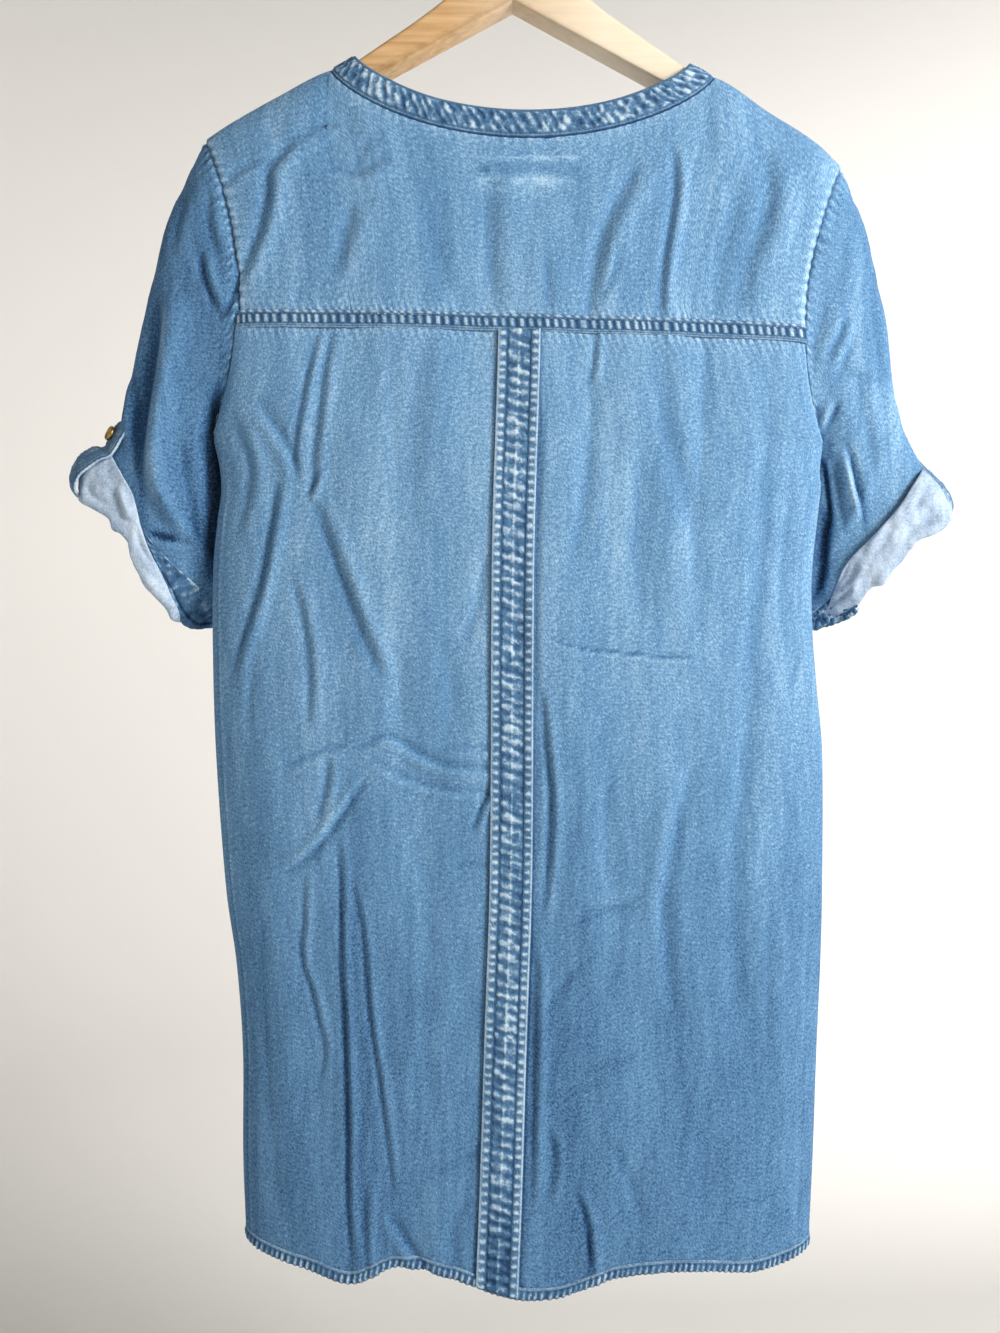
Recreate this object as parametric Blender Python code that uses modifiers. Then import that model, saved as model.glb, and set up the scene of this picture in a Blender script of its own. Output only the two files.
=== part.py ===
# Collarless denim shift dress with rolled short sleeves, hung on a wooden hanger.
# Its back faces -Y, +X is to the right of someone who looks at the back, and +Z is up.
# The origin is the inside top of the hanger's hook, where it rests on a rail.
#
# The body is one flattened tube. A place on it is given by `across` (-1 at the left
# side, 0 on the centre seam, 1 at the right side), the height z, and the face (BACK or
# FRONT). A sleeve is a second tube, given by `along` (0 at the armhole, 1 at the fold
# of the cuff) and the angle around it (0 at the outer edge, a quarter turn at the back).

import math
from collections import namedtuple

import bmesh
import bpy
from mathutils import Vector

MM = 0.001
BACK = -1
FRONT = 1

# Cloth
WALL = 1.5 * MM
HEM_WALL = 2.2 * MM
STRIP_WALL = 1.4 * MM
NECKBAND_WALL = 2 * MM
SEAM_GAP = 0.4 * MM
SIDE_SEAM_HALF_GAP = 0.35 * MM
ARMHOLE_GAP = 1.1 * MM  # level across the seam; its walls lean, so they lie closer than that

# Shoulders and neck
RIDGE_HEIGHT_SHARE = 0.5  # share of the armhole's height over which the shoulder rounds off
RIDGE_POWER = 2.6
SECTION_POWER = 2.4
ARMHOLE_HALF_DEPTH = 24 * MM
ARMHOLE_INSET = 25.5 * MM
FRONT_DEPTH_SHARE = 0.95
NECK_EDGE = 0.6  # where the neck meets the shoulder line, as a share of the half width
BACK_NECK_DROP = 56 * MM
FRONT_NECK_DROP = 68 * MM
FRONT_YOKE_DROP = 22 * MM  # how far the yoke comes over the shoulder line to the front
NECKBAND_WIDTH = 20 * MM
NECKBAND_LEAN = 1.7  # how far the band leans in over the shoulders, for each unit up
NECKBAND_LEAN_POWER = 4

# Yoke seam, centre strip and hem
YOKE_SEAM_Z = -347.5 * MM
YOKE_SEAM_TILT = -5.3 * MM
YOKE_BAND_HEIGHT = 10 * MM
YOKE_BAND_LIFT = 0.5 * MM
STRIP_WIDTH = 30 * MM
STRIP_SHARE = 0.075  # half the strip's width, as a share of the body's half width
STRIP_LIFT = 1.8 * MM
HEM_HEIGHT = 7 * MM
FRONT_HEM_DROP = 14 * MM

# Cuffs, tabs and buttons
CUFF_START = 0.895  # where the turned-up edge ends, along the sleeve
CUFF_FOLD = 1.01
CUFF_LIFT = 2.2 * MM
LEFT_CUFF_HEM_GAP = 0.008  # between the hem's facing and the pale cuff, along the sleeve
RIGHT_CUFF_HEM = (1.015, 1.06)
CUFF_HEM_COLUMNS = (7, 13)  # around the sleeve: the lower part of its back
TAB_LIFTS = ((0.835, 2.8), (0.856, 3.3), (0.88, 4.8), (0.9, 5), (0.9525, 5), (1.01, 5))
TAB_TURN = ((5, 1.5), (1.5, 5), (-0.5, 6))  # onward and inward steps round the cuff's fold
TAB_WIDTH = 24 * MM
TAB_WALL = 1.8 * MM
BUTTON_RADIUS = 5.7 * MM
BUTTON_HEIGHT = 2.6 * MM
BUTTON_CLEARANCE = 0.3 * MM

# Hanger
WOOD_THICKNESS = 22 * MM
WOOD_EDGE_RADIUS = 5 * MM
HOOK_WIRE_RADIUS = 1.9 * MM
HOOK_INSIDE_RADIUS = 20 * MM
HOOK_ARC = (200, -61, -10)  # degrees, from the open end over the top
HOOK_STEM_TOP = -56 * MM
HOOK_SEAT_GAP = 0.3 * MM

Spot = namedtuple("Spot", "x z")
Level = namedtuple("Level", "z left right")
Height = namedtuple("Height", "z value")
Edge = namedtuple("Edge", "across z")
Ring = namedtuple("Ring", "along outer_x outer_z inner_x inner_z inner_y half_depth bow")
Fold = namedtuple("Fold", "top_x top_z foot_x foot_z width rise")

# All tables are in millimetres, except the shares `across` and `along`.
SHOULDER_TIPS = {-1: Spot(-221, -209.5), 1: Spot(230, -229)}
ARMPITS = {-1: Spot(-216.5, -417), 1: Spot(218, -424)}

SHOULDER_LINE = [
    Spot(-221, -209.5),
    Spot(-205, -198.5),
    Spot(-169, -178),
    Spot(-131, -159),
    Spot(0, -128),
    Spot(139, -164.2),
    Spot(177.5, -189),
    Spot(210, -210),
    Spot(230, -229),
]

SIDE_SEAMS = [
    Level(-417, -216.5, 218.5),
    Level(-500, -216, 216),
    Level(-560, -215.7, 212.5),
    Level(-640, -213.5, 216.5),
    Level(-740, -206, 216.5),
    Level(-790, -198.8, 215.2),
    Level(-850, -194.3, 212.5),
    Level(-930, -193.8, 209.5),
    Level(-1000, -190.5, 206),
]

CENTRE_LINE = [
    Height(-150, 3),
    Height(-350, 1.2),
    Height(-505, -3.2),
    Height(-720, -4.6),
    Height(-834, -8.3),
    Height(-942, -11.7),
    Height(-1012, -14.5),
]

HALF_DEPTHS = [
    Height(-120, 24),
    Height(-220, 28),
    Height(-350, 33),
    Height(-450, 35),
    Height(-800, 33),
    Height(-1012, 37),
]

BACK_HEM = [
    Edge(-1, -982),
    Edge(-0.85, -989),
    Edge(-0.7, -994),
    Edge(-0.565, -999.5),
    Edge(-0.395, -988.5),
    Edge(-0.175, -993.5),
    Edge(0.055, -1007.5),
    Edge(0.2, -1007.5),
    Edge(0.36, -995.5),
    Edge(0.555, -992.5),
    Edge(0.8, -996),
    Edge(1, -988),
]

# The largest folds of the back; the front has them the other way round, and softer.
FOLDS = [
    Fold(-163, -450, -197, -592, 12, -5),
    Fold(-178, -398, -101, -570, 14, -3),
    Fold(-122, -695, -111, -991, 13, -6),
    Fold(-98, -730, -83, -941, 15, 5),
    Fold(-160, -649, -22, -652, 11, 3),
    Fold(-106, -663, -157, -722, 12, -4),
    Fold(118, -640, 101, -735, 20, 4),
    Fold(101, -735, 106, -850, 20, 4),
    Fold(22, -611, 30, -740, 12, -2),
]
FRONT_FOLD_SHARE = 0.7

SLEEVE_RINGS = {
    -1: [
        Ring(0.25, -248, -266, -222, -440, 2, 25, 0),
        Ring(0.5, -260.5, -325, -222, -470, 6, 24, 2),
        Ring(0.75, -274, -388, -218, -505, 14, 22, 6),
        Ring(0.88, -286, -417, -212, -529, 18, 21, 9),
        Ring(1.0, -309, -453, -208, -551, 22, 20, 12),
    ],
    1: [
        Ring(0.25, 247, -275, 226, -447, 3, 25, 0),
        Ring(0.5, 259, -327, 225, -475, 8, 24, 1),
        Ring(0.75, 269, -385, 219, -509, 15, 22, 3),
        Ring(0.88, 279, -417, 213, -531, 18, 21, 4),
        Ring(1.0, 304, -465, 209, -552, 21, 20, 5),
    ],
}

WOOD_TOP = [
    Spot(-207, -209.5),
    Spot(-200, -202),
    Spot(-186, -193.5),
    Spot(-152, -176.5),
    Spot(-131, -166),
    Spot(-108, -151),
    Spot(-54, -113),
    Spot(-30, -88),
    Spot(-14, -77),
    Spot(14, -77),
    Spot(30, -88),
    Spot(54, -113),
    Spot(112, -154.5),
    Spot(124, -163),
    Spot(139, -172),
    Spot(160, -183.5),
    Spot(178, -195),
    Spot(199, -208.5),
    Spot(208, -216),
]
WOOD_FOOT = [Spot(207, -227), Spot(-3, -112), Spot(-204, -221)]

# Where each grid of cloth has its lines
SHOULDER_COLUMNS = (1, 0.998, 0.95, 0.87, 0.79, 0.72, 0.655)
NECK_ANGLES = (-90, -86, -80, -70, -58, -45, -30, -15, 0, 15, 30, 45, 58, 70, 80, 86, 90)
YOKE_ROWS = (1, 0.8, 0.6, 0.42, 0.27, 0.15, 0.07, 0.025, 0.006, 0)
FRONT_YOKE_ROWS = (0.9, 3.75, 10.5, 22)
PANEL_COLUMNS = (0, 0.12, 0.25, 0.38, 0.51, 0.64, 0.76, 0.87, 0.955, 0.9985, 1)
PANEL_ROWS = (
    0, 0.03, 0.06, 0.08, 0.094, 0.106, 0.13, 0.18, 0.24, 0.3, 0.36,
    0.43, 0.5, 0.57, 0.64, 0.71, 0.78, 0.84, 0.9, 0.95, 1,
)
FRONT_ROWS = (
    0, 0.04, 0.08, 0.12, 0.16, 0.2, 0.23, 0.25, 0.32,
    0.4, 0.48, 0.56, 0.64, 0.72, 0.8, 0.88, 0.94, 1,
)
SLEEVE_SIDES = 20
SLEEVE_ROWS = 9
CUFF_ROWS = 2


def smooth_between(knots, values, where):
    """A smooth curve through the values at the knots, held level past both ends."""
    where = min(max(where, knots[0]), knots[-1])
    last = len(knots) - 2
    i = next((k for k in range(last + 1) if where <= knots[k + 1]), last)
    step = knots[i + 1] - knots[i]
    t = (where - knots[i]) / step

    def slope(k):
        low = max(k - 1, 0)
        high = min(k + 1, last + 1)
        return (values[high] - values[low]) / (knots[high] - knots[low]) * step

    return (
        values[i] * (2 * t ** 3 - 3 * t ** 2 + 1)
        + slope(i) * (t ** 3 - 2 * t ** 2 + t)
        + values[i + 1] * (3 * t ** 2 - 2 * t ** 3)
        + slope(i + 1) * (t ** 3 - t ** 2)
    )


def read_height(table, column, z):
    """The named column of a table of heights, which run downwards, at height z."""
    knots = [-row.z * MM for row in table]
    values = [getattr(row, column) * MM for row in table]
    return smooth_between(knots, values, -z)


def mix(first, second, share):
    return first + (second - first) * share


def rounded(share, power):
    """Rises from 0 to 1 as a superellipse while share goes from 0 to 1."""
    return (1 - (1 - min(max(share, 0), 1)) ** power) ** (1 / power)


# ---- the body's shape ----


def armhole_share(side, z):
    """How far down the armhole z lies: 0 at the shoulder tip, 1 at the armpit."""
    tip = SHOULDER_TIPS[side].z * MM
    pit = ARMPITS[side].z * MM
    return min(max((tip - z) / (tip - pit), 0), 1)


def edge_x(side, z):
    """The left or right edge of the body: the armhole, and the side seam below it."""
    if z < ARMPITS[side].z * MM:
        return read_height(SIDE_SEAMS, "left" if side < 0 else "right", z)
    share = armhole_share(side, z)
    inset = ARMHOLE_INSET * math.sin(math.pi * share ** 1.1) ** 0.7
    return mix(SHOULDER_TIPS[side].x, ARMPITS[side].x, share) * MM - side * inset


def centre_x(z):
    return read_height(CENTRE_LINE, "value", z)


def half_width(side, z):
    return abs(edge_x(side, z) - centre_x(z))


def body_x(across, z):
    side = -1 if across < 0 else 1
    return centre_x(z) + across * half_width(side, z)


def shoulder_z(across):
    """Height of the shoulder line, and of the line that carries it over the neck."""
    side = -1 if across < 0 else 1
    tip = SHOULDER_TIPS[side].x * MM
    x = mix(centre_x(SHOULDER_LINE[0].z * MM), tip, abs(across))
    knots = [spot.x * MM for spot in SHOULDER_LINE]
    return smooth_between(knots, [spot.z * MM for spot in SHOULDER_LINE], x)


def edge_depth(side, z):
    """Half the armhole's depth: full in its upper half, closing to the armpit."""
    share = armhole_share(side, z)
    return ARMHOLE_HALF_DEPTH * rounded(2 - 2 * share, 2)


def half_depth(across, z, face):
    middle = read_height(HALF_DEPTHS, "value", z) * (FRONT_DEPTH_SHARE if face > 0 else 1)
    right_share = (across + 1) / 2
    edge = mix(edge_depth(-1, z), edge_depth(1, z), right_share)
    full = edge + (middle - edge) * rounded(1 - abs(across), SECTION_POWER)
    tall = mix(
        SHOULDER_TIPS[-1].z - ARMPITS[-1].z, SHOULDER_TIPS[1].z - ARMPITS[1].z, right_share
    )
    ridge = RIDGE_HEIGHT_SHARE * tall * MM
    return full * rounded((shoulder_z(across) - z) / ridge, RIDGE_POWER)


def fold_rise(x, z, face):
    """How far the folds lift the cloth off its plain form."""
    sign = -face  # the front's folds run as in a mirror
    rise = 0
    for fold in FOLDS:
        top = Vector((fold.top_x * MM, fold.top_z * MM))
        run = Vector((fold.foot_x * MM, fold.foot_z * MM)) - top
        here = Vector((sign * x, z)) - top
        share = min(max(here.dot(run) / run.length_squared, 0), 1)
        apart = (here - run * share).length
        rise += fold.rise * MM * math.exp(-((apart / (fold.width * MM)) ** 2))
    return rise * (FRONT_FOLD_SHARE if face > 0 else 1)


def plain_point(across, z, face):
    x = body_x(across, z)
    calm = 1 - abs(across) ** 8  # no fold crosses a side seam
    return Vector((x, face * (half_depth(across, z, face) + calm * fold_rise(x, z, face)), z))


def body_point(across, z, face, lift=0.0):
    point = plain_point(across, z, face)
    if lift:
        step = 0.01
        aside = plain_point(across + step, z, face) - plain_point(across - step, z, face)
        down = plain_point(across, z - 2 * MM, face) - plain_point(across, z + 2 * MM, face)
        point += down.cross(aside).normalized() * lift * -face
    return point


def panel_point(across, z, face, lift=0.0):
    """A point of a front or back panel, which stops just short of the side seam."""
    return body_point(across, z, face, lift) + Vector((0, face * SIDE_SEAM_HALF_GAP, 0))


def yoke_seam_z(across):
    return YOKE_SEAM_Z + YOKE_SEAM_TILT * across


def neck_z(across, face):
    """Height of the neck seam; the front one drops lower."""
    left = shoulder_z(-NECK_EDGE)
    right = shoulder_z(NECK_EDGE)
    corner = mix(left, right, (across / NECK_EDGE + 1) / 2)
    open_share = max(1 - (across / NECK_EDGE) ** 2, 0)
    if face < 0:
        return corner - BACK_NECK_DROP * open_share ** 0.65
    return corner - FRONT_YOKE_DROP - FRONT_NECK_DROP * open_share ** 0.6


def back_hem_z(across):
    knots = [edge.across for edge in BACK_HEM]
    return smooth_between(knots, [edge.z * MM for edge in BACK_HEM], across)


def front_hem_z(across):
    level = mix(BACK_HEM[0].z, BACK_HEM[-1].z, (across + 1) / 2) * MM
    return level - FRONT_HEM_DROP * (1 - across ** 2)


# ---- the sleeves' shape ----


def armhole_point(side, angle):
    share = (1 - math.cos(angle)) / 2
    z = mix(SHOULDER_TIPS[side].z, ARMPITS[side].z, share) * MM
    face = BACK if math.sin(angle) >= 0 else FRONT
    clear = Vector((side, 0, share)) * ARMHOLE_GAP
    return body_point(side, z, face) + clear


def ring_point(ring, side, angle):
    outer = Vector((ring.outer_x, 0, ring.outer_z)) * MM
    inner = Vector((ring.inner_x, ring.inner_y, ring.inner_z)) * MM
    out = (outer - inner) / 2
    depth = Vector((0, -ring.half_depth * MM * math.sin(angle), 0))
    toward_cuff = Vector((out.z * -side, 0, out.x * side)).normalized() * -1
    bow = toward_cuff * ring.bow * MM * math.sin(angle) ** 2
    return (outer + inner) / 2 + out * math.cos(angle) + depth + bow


def plain_sleeve_point(side, along, angle):
    rings = SLEEVE_RINGS[side]
    knots = [0] + [ring.along for ring in rings]
    points = [armhole_point(side, angle)] + [ring_point(ring, side, angle) for ring in rings]
    if along > 1:
        return points[-1] + (points[-1] - points[-2]) * (along - 1) / (knots[-1] - knots[-2])
    return smooth_between(knots, points, along)


def sleeve_point(side, along, angle, lift=0.0):
    point = plain_sleeve_point(side, along, angle)
    if lift:
        turn = 0.05
        reach = 0.02
        around = plain_sleeve_point(side, along, angle + turn) - plain_sleeve_point(
            side, along, angle - turn
        )
        down = plain_sleeve_point(side, along + reach, angle) - plain_sleeve_point(
            side, along - reach, angle
        )
        point += around.cross(down).normalized() * lift * side
    return point


# ---- making objects ----


def new_collection(name):
    collection = bpy.data.collections.new(name)
    bpy.context.scene.collection.children.link(collection)
    return collection


def new_material(name, colour, roughness, metallic=0.0):
    material = bpy.data.materials.new(name)
    material.use_nodes = True
    shader = material.node_tree.nodes["Principled BSDF"]
    shader.inputs["Base Color"].default_value = (*colour, 1)
    shader.inputs["Roughness"].default_value = roughness
    shader.inputs["Metallic"].default_value = metallic
    return material


def add_object(name, data, material, parts):
    made = bpy.data.objects.new(name, data)
    data.materials.append(material)
    parts.objects.link(made)
    return made


def cloth_piece(name, columns, rows, place, material, parts, wall=WALL, ring=False, keep=None):
    """A sheet of cloth: a flat grid whose corners go where place(column, row) says."""
    bm = bmesh.new()
    bmesh.ops.create_grid(bm, x_segments=columns, y_segments=rows, size=1)
    corners = {}
    for vert in bm.verts:
        column = round((vert.co.x + 1) / 2 * columns)
        row = round((vert.co.y + 1) / 2 * rows)
        corners[vert] = (column, row)
    if keep:
        spare = []
        for face in bm.faces:
            low = [min(corners[vert][k] for vert in face.verts) for k in (0, 1)]
            if not keep(*low):
                spare.append(face)
        bmesh.ops.delete(bm, geom=spare, context="FACES")
    for vert in bm.verts:
        vert.co = place(*corners[vert])
    if ring:
        bmesh.ops.remove_doubles(bm, verts=bm.verts, dist=0.01 * MM)
    face_outwards(bm)
    mesh = bpy.data.meshes.new(name)
    bm.to_mesh(mesh)
    bm.free()
    mesh.shade_smooth()
    piece = add_object(name, mesh, material, parts)
    solid = piece.modifiers.new("Wall", "SOLIDIFY")
    solid.thickness = wall
    solid.offset = -1
    return piece


def face_outwards(bm):
    """Turns the sheet so that its faces point away from the middle of the tube it is on."""
    bmesh.ops.recalc_face_normals(bm, faces=bm.faces)
    middle = sum((vert.co for vert in bm.verts), Vector()) / len(bm.verts)
    middle.y = 0
    outward = 0
    for face in bm.faces:
        outward += face.normal.dot(face.calc_center_median() - middle) * face.calc_area()
    if outward < 0:
        bmesh.ops.reverse_faces(bm, faces=bm.faces)


# ---- the body's pieces ----


def shoulder_columns():
    """Every column of the yoke and the front, from the left armhole to the right one."""
    neck = [NECK_EDGE * math.sin(math.radians(angle)) for angle in NECK_ANGLES]
    left = [-share for share in SHOULDER_COLUMNS]
    return left + neck + [-share for share in reversed(left)]


COLUMNS = shoulder_columns()
LEFT_NECK_COLUMN = len(SHOULDER_COLUMNS)
RIGHT_NECK_COLUMN = LEFT_NECK_COLUMN + len(NECK_ANGLES) - 1
YOKE_TOP_ROW = len(YOKE_ROWS) - 1


def on_shoulder(column):
    return column <= LEFT_NECK_COLUMN or column >= RIGHT_NECK_COLUMN


def yoke_corner(column, row):
    across = COLUMNS[column]
    top = shoulder_z(across) if on_shoulder(column) else neck_z(across, BACK)
    foot = yoke_seam_z(across) + YOKE_BAND_HEIGHT / 2 + SEAM_GAP
    if row <= YOKE_TOP_ROW:
        return body_point(across, mix(top, foot, YOKE_ROWS[row]), BACK)
    drop = FRONT_YOKE_ROWS[row - YOKE_TOP_ROW - 1] * MM
    return body_point(across, top - drop, FRONT)


def yoke_has(column, row):
    over_the_neck = LEFT_NECK_COLUMN <= column < RIGHT_NECK_COLUMN
    return row < YOKE_TOP_ROW or not over_the_neck


def yoke_band_corner(column, row):
    across = COLUMNS[column]
    z = yoke_seam_z(across) + YOKE_BAND_HEIGHT * (0.5 - row)
    return body_point(across, z, BACK, YOKE_BAND_LIFT)


def panel_across(side, column, z):
    """Panel columns leave the centre seam, pass the strip's edge and spread to the side."""
    width = half_width(side, z)
    strip_edge = STRIP_WIDTH / 2 + SEAM_GAP
    if column == 0:
        return side * SEAM_GAP / 2 / width
    return side * mix(strip_edge, width, PANEL_COLUMNS[column - 1]) / width


def panel_z(side, column, share):
    """Heights down a back panel, from the yoke band to the hem band."""
    rough = side * mix(STRIP_SHARE, 1, PANEL_COLUMNS[column - 1]) if column else 0
    top = yoke_seam_z(rough) - YOKE_BAND_HEIGHT / 2 - SEAM_GAP
    return mix(top, back_hem_z(rough) + HEM_HEIGHT, share)


def back_panel_corner(side, column, row):
    z = panel_z(side, column, PANEL_ROWS[row])
    if row == len(PANEL_ROWS) - 1:
        z += SEAM_GAP
    return panel_point(panel_across(side, column, z), z, BACK)


def strip_corner(column, row):
    side = column - 1
    nearest = 1 if side else 0
    panel_side = side or 1
    if row < len(PANEL_ROWS):
        z = panel_z(panel_side, nearest, PANEL_ROWS[row])
    else:
        z = panel_z(panel_side, nearest, 1) - HEM_HEIGHT
    across = side * STRIP_WIDTH / 2 / half_width(panel_side, z)
    return panel_point(across, z, BACK, STRIP_LIFT)


def back_hem_corner(column, row):
    across_columns = len(PANEL_COLUMNS)
    side = -1 if column < across_columns else 1
    from_centre = abs(column - across_columns)
    z = panel_z(side, from_centre, 1) - HEM_HEIGHT * row
    across = panel_across(side, from_centre, z) if from_centre else 0
    return panel_point(across, z, BACK)


def front_top_z(column):
    across = COLUMNS[column]
    if on_shoulder(column):
        return shoulder_z(across) - FRONT_YOKE_DROP - SEAM_GAP
    return neck_z(across, FRONT)


def front_corner(column, row):
    across = COLUMNS[column]
    foot = front_hem_z(across) + HEM_HEIGHT + SEAM_GAP
    z = mix(front_top_z(column), foot, FRONT_ROWS[row])
    return panel_point(across, z, FRONT)


def front_hem_corner(column, row):
    across = COLUMNS[column]
    return panel_point(across, front_hem_z(across) + HEM_HEIGHT * (1 - row), FRONT)


def neck_seam():
    """The points of the neck seam, once round from the left shoulder along the back."""
    arc = [NECK_EDGE * math.sin(math.radians(angle)) for angle in NECK_ANGLES]
    back = [body_point(across, neck_z(across, BACK), BACK) for across in arc]
    right = shoulder_side_of_neck(NECK_EDGE)
    front = [panel_point(across, neck_z(across, FRONT), FRONT) for across in arc[1:-1]]
    left = shoulder_side_of_neck(-NECK_EDGE)
    return back + right + front[::-1] + left[::-1]


def shoulder_side_of_neck(across):
    drops = [drop * MM for drop in FRONT_YOKE_ROWS]
    return [body_point(across, shoulder_z(across) - drop, FRONT) for drop in drops]


def neckband_corner(seam, column, row):
    base = seam[column % len(seam)]
    sideways = (base.x - centre_x(base.z)) / (NECK_EDGE * half_width(1, base.z))
    inward = base.y / (HALF_DEPTHS[0].value * MM)
    level = -NECKBAND_LEAN * math.copysign(abs(sideways) ** NECKBAND_LEAN_POWER, sideways)
    lean = Vector((level, -0.12 * inward, 1)).normalized()
    return base + lean * mix(SEAM_GAP, NECKBAND_WIDTH, row / 2)


def make_body(cloth, band, parts):
    columns = len(COLUMNS) - 1
    yoke_rows = YOKE_TOP_ROW + len(FRONT_YOKE_ROWS)
    cloth_piece("back_yoke", columns, yoke_rows, yoke_corner, cloth, parts, keep=yoke_has)
    cloth_piece("yoke_band", columns, 1, yoke_band_corner, band, parts)
    for side, name in ((-1, "back_panel_left"), (1, "back_panel_right")):
        cloth_piece(
            name,
            len(PANEL_COLUMNS),
            len(PANEL_ROWS) - 1,
            lambda column, row, side=side: back_panel_corner(side, column, row),
            cloth,
            parts,
        )
    cloth_piece("back_strip", 2, len(PANEL_ROWS), strip_corner, band, parts, wall=STRIP_WALL)
    cloth_piece("front_panel", columns, len(FRONT_ROWS) - 1, front_corner, cloth, parts)
    cloth_piece(
        "hem_back", 2 * len(PANEL_COLUMNS), 1, back_hem_corner, band, parts, wall=HEM_WALL
    )
    cloth_piece("hem_front", columns, 1, front_hem_corner, band, parts, wall=HEM_WALL)


def make_neckband(cloth, parts):
    seam = neck_seam()
    cloth_piece(
        "neckband",
        len(seam),
        2,
        lambda column, row: neckband_corner(seam, column, row),
        cloth,
        parts,
        wall=NECKBAND_WALL,
        ring=True,
    )


# ---- sleeves, cuffs, tabs and buttons ----


def sleeve_angle(column):
    return 2 * math.pi * column / SLEEVE_SIDES


def turned_up_top(angle):
    """Along the sleeve, where the pale side of the cuff gives way to the hem's facing."""
    inner_share = (1 - math.cos(angle)) / 2
    return mix(CUFF_START, 1.0, max(inner_share - 0.5, 0) * 1.5)


def make_sleeve(side, name, cloth, lining, parts):
    def sleeve_corner(column, row):
        return sleeve_point(side, row / SLEEVE_ROWS, sleeve_angle(column))

    def cuff_corner(column, row):
        angle = sleeve_angle(column)
        top = turned_up_top(angle) if side < 0 else CUFF_START
        return sleeve_point(side, mix(top, CUFF_FOLD, row / CUFF_ROWS), angle, CUFF_LIFT)

    cloth_piece(
        f"sleeve_{name}", SLEEVE_SIDES, SLEEVE_ROWS, sleeve_corner, cloth, parts, ring=True
    )
    cloth_piece(
        f"cuff_{name}", SLEEVE_SIDES, CUFF_ROWS, cuff_corner, lining, parts, ring=True
    )


def make_cuff_hems(cloth, parts):
    """The hem's facing: above the turned-up cuff on the left, rolled out on the right."""
    first, last = CUFF_HEM_COLUMNS

    def left_corner(column, row):
        angle = sleeve_angle(first + column)
        lower = turned_up_top(angle) - LEFT_CUFF_HEM_GAP
        return sleeve_point(-1, mix(CUFF_START, lower, row), angle, CUFF_LIFT)

    def right_corner(column, row):
        angle = sleeve_angle(first + column)
        return sleeve_point(1, mix(*RIGHT_CUFF_HEM, row), angle, CUFF_LIFT)

    cloth_piece("cuff_hem_left", last - first, 1, left_corner, cloth, parts)
    cloth_piece("cuff_hem_right", last - first, 1, right_corner, cloth, parts)


def tab_route(side):
    """The tab's outer line: down over the turned-up cuff, round its fold and in below."""
    route = [sleeve_point(side, along, 0, lift * MM) for along, lift in TAB_LIFTS]
    fold = sleeve_point(side, 1.0, 0)
    inward = (sleeve_point(side, 1.0, math.pi) - fold).normalized()
    inward.y = 0
    onward = (route[-1] - route[-2]).normalized()
    for forward, under in TAB_TURN:
        route.append(route[-1] + onward * forward * MM + inward * under * MM)
    return route


def make_tab(side, name, cloth, parts):
    route = tab_route(side)

    def tab_corner(column, row):
        return route[row] + Vector((0, (column - 0.5) * TAB_WIDTH, 0))

    tab = cloth_piece(
        f"tab_{name}", 1, len(route) - 1, tab_corner, cloth, parts, wall=TAB_WALL
    )
    return tab, route


def make_button(side, name, route, brass, parts):
    """A turned metal button with a raised rim, seated on the upper end of the tab."""
    seat = (route[1] + route[2]) / 2
    along = (route[2] - route[1]).normalized()
    outward = along.cross(Vector((0, 1, 0))) * side
    radius = BUTTON_RADIUS
    height = BUTTON_HEIGHT
    profile = [
        (0, height * 0.7),
        (radius * 0.72, height * 0.7),
        (radius * 0.8, height),
        (radius * 0.93, height),
        (radius, height * 0.8),
        (radius, 0.25 * height),
        (radius * 0.9, 0),
        (0, 0),
    ]
    mesh = bpy.data.meshes.new(f"button_{name}")
    points = [(x, 0, z) for x, z in profile]
    mesh.from_pydata(points, [(k, k + 1) for k in range(len(points) - 1)], [])
    button = add_object(f"button_{name}", mesh, brass, parts)
    screw = button.modifiers.new("Turn", "SCREW")
    screw.steps = 20
    screw.render_steps = 20
    screw.use_merge_vertices = True
    screw.merge_threshold = 0.0001
    button.location = seat + outward * BUTTON_CLEARANCE
    button.rotation_euler = outward.to_track_quat("Z", "Y").to_euler()


# ---- the hanger ----


def make_hanger_wood(wood, parts):
    """Both arms in one board, flat front and back, with its edges rounded over."""
    outline = WOOD_TOP + WOOD_FOOT
    curve = bpy.data.curves.new("hanger_wood", "CURVE")
    curve.dimensions = "2D"
    curve.fill_mode = "BOTH"
    curve.extrude = WOOD_THICKNESS / 2 - WOOD_EDGE_RADIUS
    curve.bevel_depth = WOOD_EDGE_RADIUS
    curve.bevel_resolution = 2
    curve.offset = -WOOD_EDGE_RADIUS
    spline = curve.splines.new("POLY")
    spline.points.add(len(outline) - 1)
    for point, spot in zip(spline.points, outline):
        point.co = (spot.x * MM, spot.z * MM, 0, 1)
    spline.use_cyclic_u = True
    board = add_object("hanger_wood", curve, wood, parts)
    board.rotation_euler = (math.pi / 2, 0, 0)


def hook_route():
    """The wire's line: from its open end over the top and down into the stem."""
    radius = HOOK_INSIDE_RADIUS + HOOK_WIRE_RADIUS
    middle = Vector((0, 0, -HOOK_INSIDE_RADIUS))
    route = []
    for degrees in range(*HOOK_ARC):
        angle = math.radians(degrees)
        route.append(middle + Vector((math.cos(angle), 0, math.sin(angle))) * radius)
    bend = route[-1]
    stem_top = Vector((0, 0, HOOK_STEM_TOP))
    for share in (0.35, 0.7, 1.0):
        slide = math.sin(share * math.pi / 2)
        route.append(Vector((mix(bend.x, stem_top.x, slide), 0, mix(bend.z, stem_top.z, share))))
    route.append(Vector((0, 0, WOOD_TOP[len(WOOD_TOP) // 2].z * MM + HOOK_SEAT_GAP)))
    return route


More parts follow.
